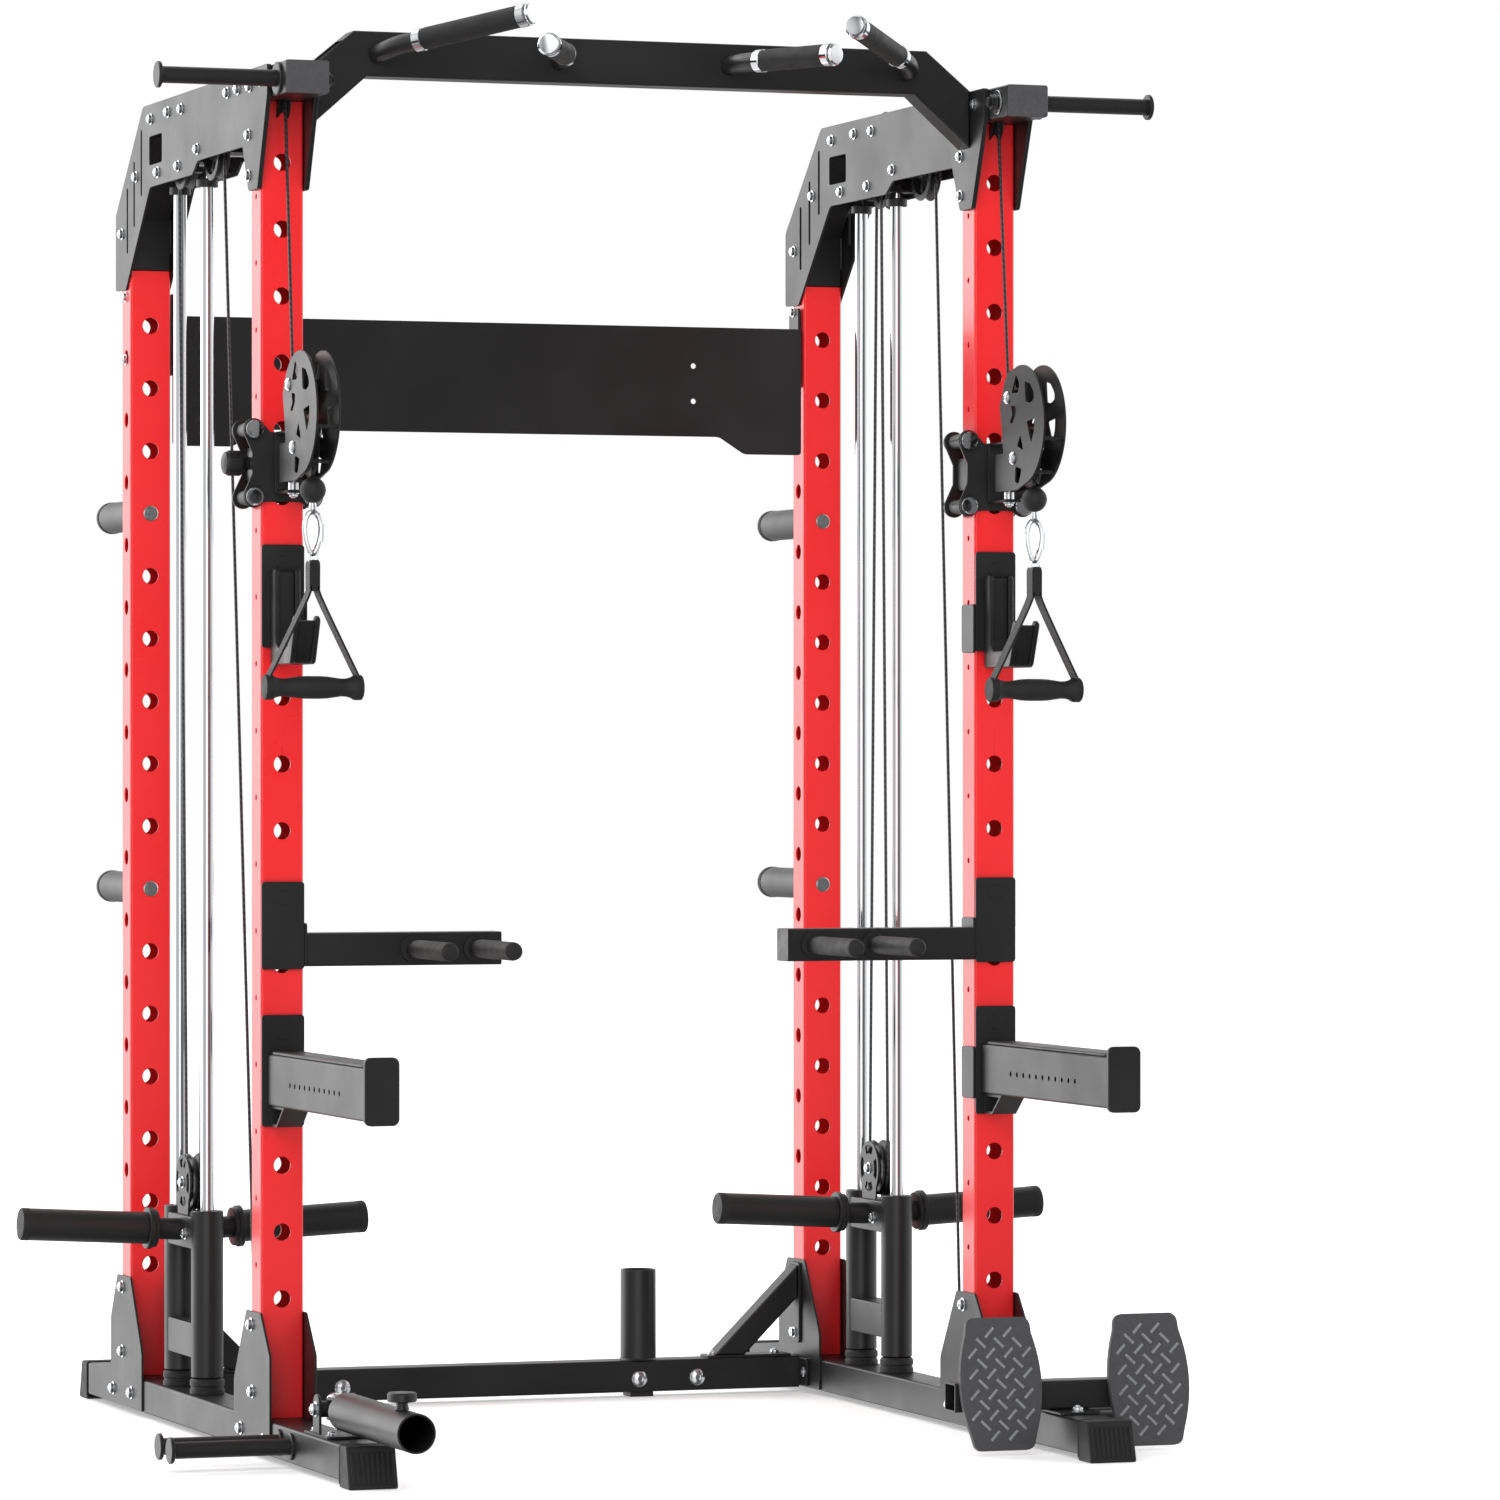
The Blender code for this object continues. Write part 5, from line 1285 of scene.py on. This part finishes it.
def pull_handle(side, sign):
    """Stop ball, swivel eye and snap hook, webbing strap and foam-covered grip."""
    x = sign * TOWER_X
    y, top = BALL
    body = f"pull_handle_{side}"
    clear()
    bpy.ops.mesh.primitive_uv_sphere_add(segments=32, ring_count=20, radius=BALL_R)
    ball = bpy.context.object
    ball.data.transform(Matrix.Translation((x, y, top)))
    seam = turned("Z", (x, y, 0),
                  [(top - 0.0012, BALL_R + 0.0003), (top + 0.0012, BALL_R + 0.0003)], 32)
    neck = turned("Z", (x, y, 0),
                  [(top + 0.0165, 0.0065), (top + 0.0185, 0.0060), (top + 0.0215, 0.0034)], 24)
    seat(join(ball, seam, neck), f"stop_ball_{side}", "rubber", body, body)
    hook_top, hook_low = top - BALL_R + 0.001, top - 0.106
    stem = turned("Z", (x, y, 0),
                  [(hook_top, 0.0045), (hook_top - 0.006, 0.0060), (hook_top - 0.0110, 0.0060),
                                   (hook_top - 0.0130, 0.0040)], 24)
    loop = []
    for i in range(29):
        a = 2 * math.pi * i / 28
        wide = 0.0115 + 0.0030 * math.sin(a)
        high, deep = hook_top - 0.0140, hook_low + 0.0120
        loop.append(
            (x + wide * math.cos(a), y, (high + deep) / 2 + (high - deep) / 2 * math.sin(a)))
    ring = swept(loop[:-1] + [loop[0]], 0.0042, 16)
    gate = swept([(x + 0.0118, y, hook_low + 0.030), (x + 0.0132, y, hook_low + 0.056)], 0.0050, 16)
    eye = [(x + 0.0062 * math.cos(a), y, hook_low + 0.0060 + 0.0075 * math.sin(a))
           for a in [2 * math.pi * i / 20 for i in range(21)]]
    seat(join(stem, ring, gate, swept(eye, 0.0026, 12)), f"snap_hook_{side}", "chrome", body)
    peak, grip_z, half = top - 0.103, top - 0.291, 0.0745
    strap(side, x, y, peak, grip_z, half, body)
    right = [(0.0100, 0.0168), (0.0220, 0.0162), (0.0340, 0.0145), (0.0430, 0.0132),
             (0.0500, 0.0134),
             (0.0570, 0.0150), (0.0620, 0.0180), (0.0640, 0.0186), (half - 0.001, 0.0186),
             (half, 0.0176)]
    tube_grip = [(-a, r) for a, r in reversed(right)] + right
    seat(turned("X", (x, y, grip_z), tube_grip, 48), f"hand_grip_{side}", "rubber", body)


def strap(side, x, y, peak, grip_z, half, body):
    """Webbing: a stitched loop at the top, then two legs down to the ends of the grip."""
    loop = [(x - 0.0080, peak - 0.046), (x - 0.0082, peak - 0.006), (x - 0.0060, peak),
            (x + 0.0060, peak), (x + 0.0082, peak - 0.006), (x + 0.0080, peak - 0.046)]
    pad = plate("Y", smooth_closed(loop), y - 0.0125, y + 0.0125, 0.0010)
    legs = []
    for k in (-1, 1):
        line = smooth_line(
            [(x + k * 0.0060, peak - 0.040), (x + k * 0.012, peak - 0.060),
             (x + k * (half - 0.012), grip_z + 0.026),
                            (x + k * (half - 0.004), grip_z + 0.012)], 6)
        right, left = [], []
        for i, point in enumerate(line):
            before, after = Vector(line[max(i - 1, 0)]), Vector(line[min(i + 1, len(line) - 1)])
            way = (after - before).normalized()
            across = Vector((-way.y, way.x)) * 0.0016
            right.append(tuple(Vector(point) + across))
            left.append(tuple(Vector(point) - across))
        legs.append(plate("Y", right + left[::-1], y - 0.0125, y + 0.0125, 0.0005))
    seat(join(pad, *legs), f"strap_{side}", "webbing", body)


def smooth_closed(points):
    return soften(points, 0.004, 4)


# --- cable ----------------------------------------------------------------------------
def crossing(first, r1, second, r2, way):
    dy, dz = second[0] - first[0], second[1] - first[1]
    lean = math.asin((r1 + r2) / math.hypot(dy, dz))
    return math.degrees(math.atan2(dz, dy) + way * (lean - math.pi / 2)) % 360


def wrap(centre, radius, start, end, x):
    count = max(3, round(abs(end - start) / 9) + 1)
    return [(x, y, z) for y, z in arc(centre, (radius, radius), start, end, count)]


def cables(side, sign):
    """The route from the trolley's anchor to the stop ball, cut where its ends move."""
    x = sign * TOWER_X
    inner, outer = x - sign * PULLEY_SHIFT, x + sign * PULLEY_SHIFT
    up = crossing(BASE_PULLEY, BASE_LINE, SLANT_PULLEY, CABLE_LINE, 1)
    down = crossing(FRONT_PULLEY, CABLE_LINE, UPPER_PULLEY, CABLE_LINE, 1)
    between = crossing(UPPER_PULLEY, CABLE_LINE, LOWER_PULLEY, CABLE_LINE, -1)
    anchor = (x, BASE_PULLEY[0] - BASE_LINE, TROLLEY_Z - 0.0575)
    base = wrap(BASE_PULLEY, BASE_LINE, 180, up, x)
    slant = wrap(SLANT_PULLEY, CABLE_LINE, up - 180, 90, outer)
    rear = wrap(REAR_PULLEY, CABLE_LINE, 90, 0, outer)
    carriage = wrap(CARRIAGE_PULLEY, CABLE_LINE, 0, -180, x)
    drop = wrap(DROP_PULLEY, CABLE_LINE, 0, 90, inner)
    front = wrap(FRONT_PULLEY, CABLE_LINE, 90, down, x)
    upper = wrap(UPPER_PULLEY, CABLE_LINE, down - 180, between - 360, x)
    lower = wrap(LOWER_PULLEY, CABLE_LINE, between - 180, 180, x)
    ball = (x, BALL[0], BALL[1] + BALL_R - 0.0002)
    trolley_body, carriage_body = f"trolley_{side}", f"weight_carriage_{side}"
    housing, handle = f"swivel_housing_{side}", f"pull_handle_{side}"
    run(f"cable_anchor_{side}", [anchor, base[0]], blend=(trolley_body, "frame"))
    run(f"cable_rear_{side}", base + slant + rear, "frame", f"cable_{side}")
    run(f"cable_down_{side}", [rear[-1], carriage[0]], blend=("frame", carriage_body))
    run(f"cable_carriage_{side}", carriage, carriage_body)
    run(f"cable_up_{side}", [carriage[-1], drop[0]], blend=(carriage_body, "frame"))
    run(f"cable_head_{side}", drop + front, "frame")
    run(f"cable_front_{side}", [front[-1], upper[0]], blend=("frame", trolley_body))
    run(f"cable_swivel_{side}", upper + lower, housing)
    run(f"cable_end_{side}", [lower[-1], ball], blend=(housing, handle))


def run(name, points, body=None, node=None, blend=None):
    if blend:
        first, last = Vector(points[0]), Vector(points[-1])
        points = [first.lerp(last, i / 12) for i in range(13)]
        seat(swept(points, CABLE_R, 16), name, "cable", None,
             blend=(*blend, tuple(first), tuple(last)))
    else:
        seat(swept(points, CABLE_R, 16), name, "cable", body, *([node] if node else []))


# --- attachments ----------------------------------------------------------------------
def face_plate(x, sign, z, low, high, flange_low, flange_high):
    """Plate on the front upright, its pin and the flange on the upright's inner side."""
    back = -0.0005
    front = back - 0.005
    sheet = plate("Y", rounded((x - HALF_W, x + HALF_W), (low, high), 0.005), front, back, 0.0008)
    near = x - sign * (HALF_W + 0.0005)
    flange = plate("X", rounded((front, UP_D - 0.009), (flange_low, flange_high), 0.005), near,
                   near - sign * 0.004, 0.0006)
    pin = turned("Y", (x, 0, z),
                 [(front - 0.0008, 0.0112), (front - 0.0002, 0.0118), (UP_D - 0.012, 0.0118),
                               (UP_D - 0.0092, 0.0095)], 36)
    return sheet, flange, pin


def j_hook(side, sign):
    x = sign * TOWER_X
    z = HOOK_Z
    body = f"j_hook_{side}"
    sheet, flange, pin = face_plate(x, sign, z, z - 0.126, z + 0.028, z - 0.128, z - 0.053)
    seat(join(sheet, flange), f"hook_plate_{side}", "black", body, body)
    seat(pin, f"hook_pin_{side}", "black", body)
    core = [(-0.0056, z - 0.012), (-0.024, z - 0.012), (-0.024, z - 0.112), (-0.034, z - 0.130),
            (-0.100, z - 0.130), (-0.127, z - 0.086), (-0.135, z - 0.090), (-0.110, z - 0.1515),
            (-0.0056, z - 0.1515)]
    steel = plate("X", soften(core, 0.006, 5), x - 0.0120, x + 0.0120, 0.0008)
    seat(steel, f"hook_steel_{side}", "black", body)
    line = [(-0.0057, z - 0.009), (-0.030, z - 0.009), (-0.030, z - 0.116), (-0.040, z - 0.126),
            (-0.098, z - 0.126),
            (-0.128, z - 0.079), (-0.140, z - 0.086), (-0.112, z - 0.152), (-0.0057, z - 0.152)]
    liner = []
    for k in (-1, 1):
        liner.append(plate("X", soften(line, 0.008, 6), x + k * 0.0121, x + k * 0.0200, 0.0015))
    seat(join(*liner), f"hook_liner_{side}", "nylon", body)


def dip_bar(side, sign):
    x = sign * TOWER_X
    z = DIP_Z
    body = f"dip_bar_{side}"
    sheet, flange, pin = face_plate(x, sign, z, z - 0.107, z + 0.024, z - 0.103, z - 0.038)
    seat(join(sheet, flange), f"dip_plate_{side}", "black", body, body)
    seat(pin, f"dip_pin_{side}", "black", body)
    start = x - sign * (HALF_W + 0.0046)
    arm = tube("X", (-0.0055, UP_D - 0.009), (z - 0.103, z - 0.053), 0.003, start, sign * 0.2315)
    seat(arm, f"dip_arm_{side}", "black", body)
    mouth = rounded((-0.0055, UP_D - 0.009), (z - 0.103, z - 0.053), 0.004)
    lid = plate("X", mouth, sign * 0.2313, sign * 0.2300, 0.0004)
    seat(lid, f"dip_plug_{side}", "nylon", body)
    for i, peg_x in enumerate((0.370, 0.271)):
        bar = [(-0.0056, 0.0205), (-0.0096, 0.0200), (-0.0100, 0.0128), (-0.0350, 0.0128)]
        steel = turned("Y", (sign * peg_x, 0, z - 0.078), bar, 36)
        seat(steel, f"dip_peg_{i + 1}_{side}", "black", body)
        cover = [(-0.0351, 0.0128), (-0.0351, 0.0140), (-0.1900, 0.0140), (-0.1960, 0.0132),
                 (-0.1990, 0.0105), (-0.2000, 0.0060)]
        seat(turned("Y", (sign * peg_x, 0, z - 0.078), cover, 36), f"dip_sleeve_{i + 1}_{side}",
             "rubber", body)


def spotter_arm(side, sign):
    x = sign * TOWER_X
    z = SPOTTER_Z
    body = f"spotter_arm_{side}"
    sheet, flange, pin = face_plate(x, sign, z, z - 0.142, z + 0.025, z - 0.118, z - 0.038)
    seat(join(sheet, flange), f"spotter_plate_{side}", "black", body, body)
    seat(pin, f"spotter_pin_{side}", "black", body)
    arm = tube("Y", (x - 0.025, x + 0.025), (z - 0.110, z - 0.033), 0.003, -0.5145, -0.0056)
    arm = drill(arm, "X", [(-0.13 - 0.026 * i, z - 0.075) for i in range(11)], 0.0040, x - 0.04,
                x + 0.04, 20)
    seat(arm, f"spotter_tube_{side}", "black", body)
    end = plate("Y", rounded((x - 0.026, x + 0.026), (z - 0.116, z - 0.018), 0.010, 7), -0.524,
                -0.5147, 0.0015)
    liner = plate("Z", rounded((x - 0.0245, x + 0.0245), (-0.508, -0.030), 0.004), z - 0.0329,
                  z - 0.0285, 0.0012)
    seat(end, f"spotter_stop_{side}", "black", body)
    seat(liner, f"spotter_pad_{side}", "nylon", body)
    bent = [(-0.0056, z - 0.1101), (-0.0056, z - 0.1410), (-0.0400, z - 0.1410),
            (-0.0800, z - 0.1101)]
    hollow = [(-0.0096, z - 0.1141), (-0.0096, z - 0.1370), (-0.0387, z - 0.1370),
              (-0.0685, z - 0.1141)]
    rib = plate("X", bent, x - 0.020, x + 0.020, 0.0)
    cut(rib, plate("X", hollow, x - 0.030, x + 0.030, 0.0))
    round_edges(rib, 0.0006, 2, 30)
    seat(rib, f"spotter_rib_{side}", "black", body)


# --- landmine and foot rest -----------------------------------------------------------
def landmine_bracket(x):
    half = RAIL_HALF - 0.004
    base = plate("Z",
                 rounded((x - half - 0.002, x + half + 0.002),
                         (LANDMINE_Y - 0.065, LANDMINE_Y + 0.060), 0.005),
                 RAIL_TOP + TOUCH, RAIL_TOP + 0.004, 0.0006)
    ear = [(LANDMINE_Y - 0.016, RAIL_TOP + 0.0041), (LANDMINE_Y + 0.016, RAIL_TOP + 0.0041),
           *arc((LANDMINE_Y, LANDMINE_Z + 0.006), (0.016, 0.016), 0, 180, 17)]
    ears = [plate("X", ear, x + k * half, x + k * (half - 0.004), 0.0006) for k in (-1, 1)]
    seat(join(base, *ears), "landmine_bracket", "black", "frame")
    bolts("landmine_tilt_nut", "frame", "nut", "X", -1, [(x - half, LANDMINE_Y, LANDMINE_Z)],
          0.0105)
    bolts("landmine_tilt_head", "frame", "dome", "X", 1, [(x + half, LANDMINE_Y, LANDMINE_Z)],
          0.0110)
    tops = [(x + u, v, RAIL_TOP + 0.004) for u in (-0.018, 0.018)
            for v in (LANDMINE_Y - 0.040, LANDMINE_Y + 0.042)]
    bolts("landmine_bracket_bolts", "frame", "nut", "Z", 1, tops, 0.0070)


def landmine():
    x, y, z = -TOWER_X, LANDMINE_Y, LANDMINE_Z
    inner = RAIL_HALF - 0.0087
    pivot = turned("X", (x, y, z),
                   [(-inner, 0.0110), (-inner + 0.001, 0.0120), (inner - 0.001, 0.0120),
                    (inner, 0.0110)], 40)
    seat(pivot, "landmine_block", "black", "landmine_pivot", "landmine_pivot")
    back = y - 0.050
    front = back - 0.358
    tube_line = [(front, 0.0262), (front, 0.0279), (front + 0.0008, 0.0285), (back - 0.010, 0.0285),
                 (back - 0.003, 0.0255),
                 (back - 0.0002, 0.0180), (back - 0.0002, 0.0), (back - 0.0045, 0.0),
                 (back - 0.0045, 0.0240),
                 (back - 0.008, 0.0255), (front + 0.0008, 0.0255), (front, 0.0262)]
    seat(turned("Y", (x, 0, z), tube_line, 56), "landmine_tube", "black", "landmine_socket",
         "landmine_socket")
    cheeks = [
        block((x - 0.011, back - TOUCH, z + k * 0.0146 - 0.0020),
              (x + 0.011, y + 0.011, z + k * 0.0146 + 0.0020), 0.0010)
              for k in (-1, 1)]
    seat(join(*cheeks), "landmine_cheeks", "black", "landmine_socket")
    bolts("landmine_swing_bolt", "landmine_socket", "dome", "Z", 1, [(x, y - 0.004, z + 0.0167)],
          0.0135)
    bolts("landmine_swing_nut", "landmine_socket", "nut", "Z", -1, [(x, y - 0.004, z - 0.0167)],
          0.0070)
    at = back - 0.286
    stem = turned("Z", (x, at, 0),
                  [(z + 0.0280, 0.0105), (z + 0.0295, 0.0100), (z + 0.0340, 0.0085),
                   (z + 0.0385, 0.0085)], 32)
    head = turned("Z", (x, at, 0),
                  [(z + 0.0384, 0.0120), (z + 0.0392, 0.0195), (z + 0.0405, 0.0210),
                   (z + 0.0500, 0.0210),
                                    (z + 0.0522, 0.0195), (z + 0.0530, 0.0120)], 48)
    seat(stem, "landmine_screw", "black", "landmine_socket")
    seat(head, "landmine_knob", "nylon", "landmine_socket")


def foot_rest():
    """Bar across the right rail with two leaning foot plates of diamond tread."""
    x = TOWER_X
    low = RAIL_TOP + GAP
    bar_y = (FOOT_Y + 0.010, FOOT_Y + 0.054)
    base = plate("Z", rounded((x - HALF_W, x + HALF_W), (FOOT_Y - 0.040, FOOT_Y + 0.062), 0.005),
                 low, low + 0.004, 0.0006)
    bar = tube("X", bar_y, (low + 0.0041, low + 0.048), 0.003, x + FOOT_X[0] - 0.070,
               x + FOOT_X[1] + 0.035)
    seat(join(base, bar), "foot_rest_bar", "black", "frame", "foot_rest")
    bolts("foot_rest_bolt", "frame", "nut", "Z", 1, [(x, FOOT_Y - 0.021, low + 0.004)], 0.0100)
    rows = [0.075 - 0.015 * i for i in range(11)]
    side = [*arc((0.038, 0.086), (0.014, 0.014), 90, 5, 6),
            *[(0.0515 + 0.0140 * (1 - (v / 0.080) ** 2), v) for v in rows],
            *arc((0.036, -0.086), (0.014, 0.014), -5, -90, 6)]
    outline = side + [(-u, v) for u, v in reversed(side)]
    for i, foot_x in enumerate(FOOT_X):
        sheet = plate("Y", outline, -0.0020, 0.0015, 0.0008)
        rim = swept_rim(outline)
        mount = block((-0.020, 0.0016, -0.034), (0.020, 0.016, -0.002), 0.001)
        piece, tread = join(sheet, rim, mount), diamonds()
        for part in (piece, tread):
            part.data.transform(Matrix.Translation((x + foot_x, FOOT_Y, FOOT_Z))
                                @ Matrix.Rotation(math.radians(-10), 4, "X"))
        # Painted reflection: the foot plate takes the lighter grey coat, for the light its tilted
        # face reflects.
        seat(piece, f"foot_plate_{i + 1}", "painted_light_grey", "frame")
        # Painted highlight: the tread bars take a light grey coat for the light they catch.
        seat(tread, f"foot_tread_{i + 1}", "painted_highlight", "frame")


def swept_rim(outline):
    """A folded rim along the back of a foot plate's edge."""
    inner = [(u * 0.965, v * 0.975) for u, v in outline]
    rim = outline_mesh("Y", outline, 0.0014, "NOTHING")
    other = outline_mesh("Y", inner, 0.0014, "NOTHING")
    both = join(rim, other)
    edit(both)
    bpy.ops.mesh.bridge_edge_loops()
    bpy.ops.mesh.select_all(action="SELECT")
    bpy.ops.mesh.extrude_region_move(TRANSFORM_OT_translate={"value": (0, 0.0055, 0)})
    bpy.ops.mesh.select_all(action="SELECT")
    bpy.ops.mesh.normals_make_consistent(inside=False)
    leave()
    return both


def diamonds():
    """Raised bars of tread plate, 21 mm long, in two staggered sets that lean opposite ways."""
    bar = block((-0.0105, -0.0036, -0.0026), (0.0105, -0.0016, 0.0026), 0.0)
    for corner in bar.data.vertices:
        if corner.co.y < -0.003:
            corner.co.x *= 0.70
            corner.co.z *= 0.30
    made = []
    for shift_u, shift_v, lean in ((0.0, 0.0, 45), (0.0145, 0.0155, -45)):
        for row in range(-4, 4):
            for column in range(-3, 3):
                u, v = column * 0.029 + shift_u, row * 0.031 + shift_v
                if abs(v) < 0.088 and abs(u) < 0.0405 + 0.0155 * (1 - (v / 0.085) ** 2):
                    made.append(
                        copy(bar, Matrix.Translation((u, 0, v))
                             @ Matrix.Rotation(math.radians(lean), 4, "Y")))
    pick(bar)
    bpy.ops.object.delete()
    return join(*made)


# --- the whole machine ----------------------------------------------------------------
studio()
crossmember()
pull_up_beam()
back_panel()
landmine()
foot_rest()
for side_name, side_sign in SIDES:
    base_rails(side_name, side_sign)
    uprights(side_name, side_sign)
    top_beam(side_name, side_sign)
    head_plates(side_name, side_sign)
    guide_rods(side_name, side_sign)
    tower_pulleys(side_name, side_sign)
    weight_carriage(side_name, side_sign)
    trolley(side_name, side_sign)
    swivel(side_name, side_sign)
    pull_handle(side_name, side_sign)
    cables(side_name, side_sign)
    j_hook(side_name, side_sign)
    dip_bar(side_name, side_sign)
    spotter_arm(side_name, side_sign)
pick(*WHEELS.values())
bpy.ops.object.delete()
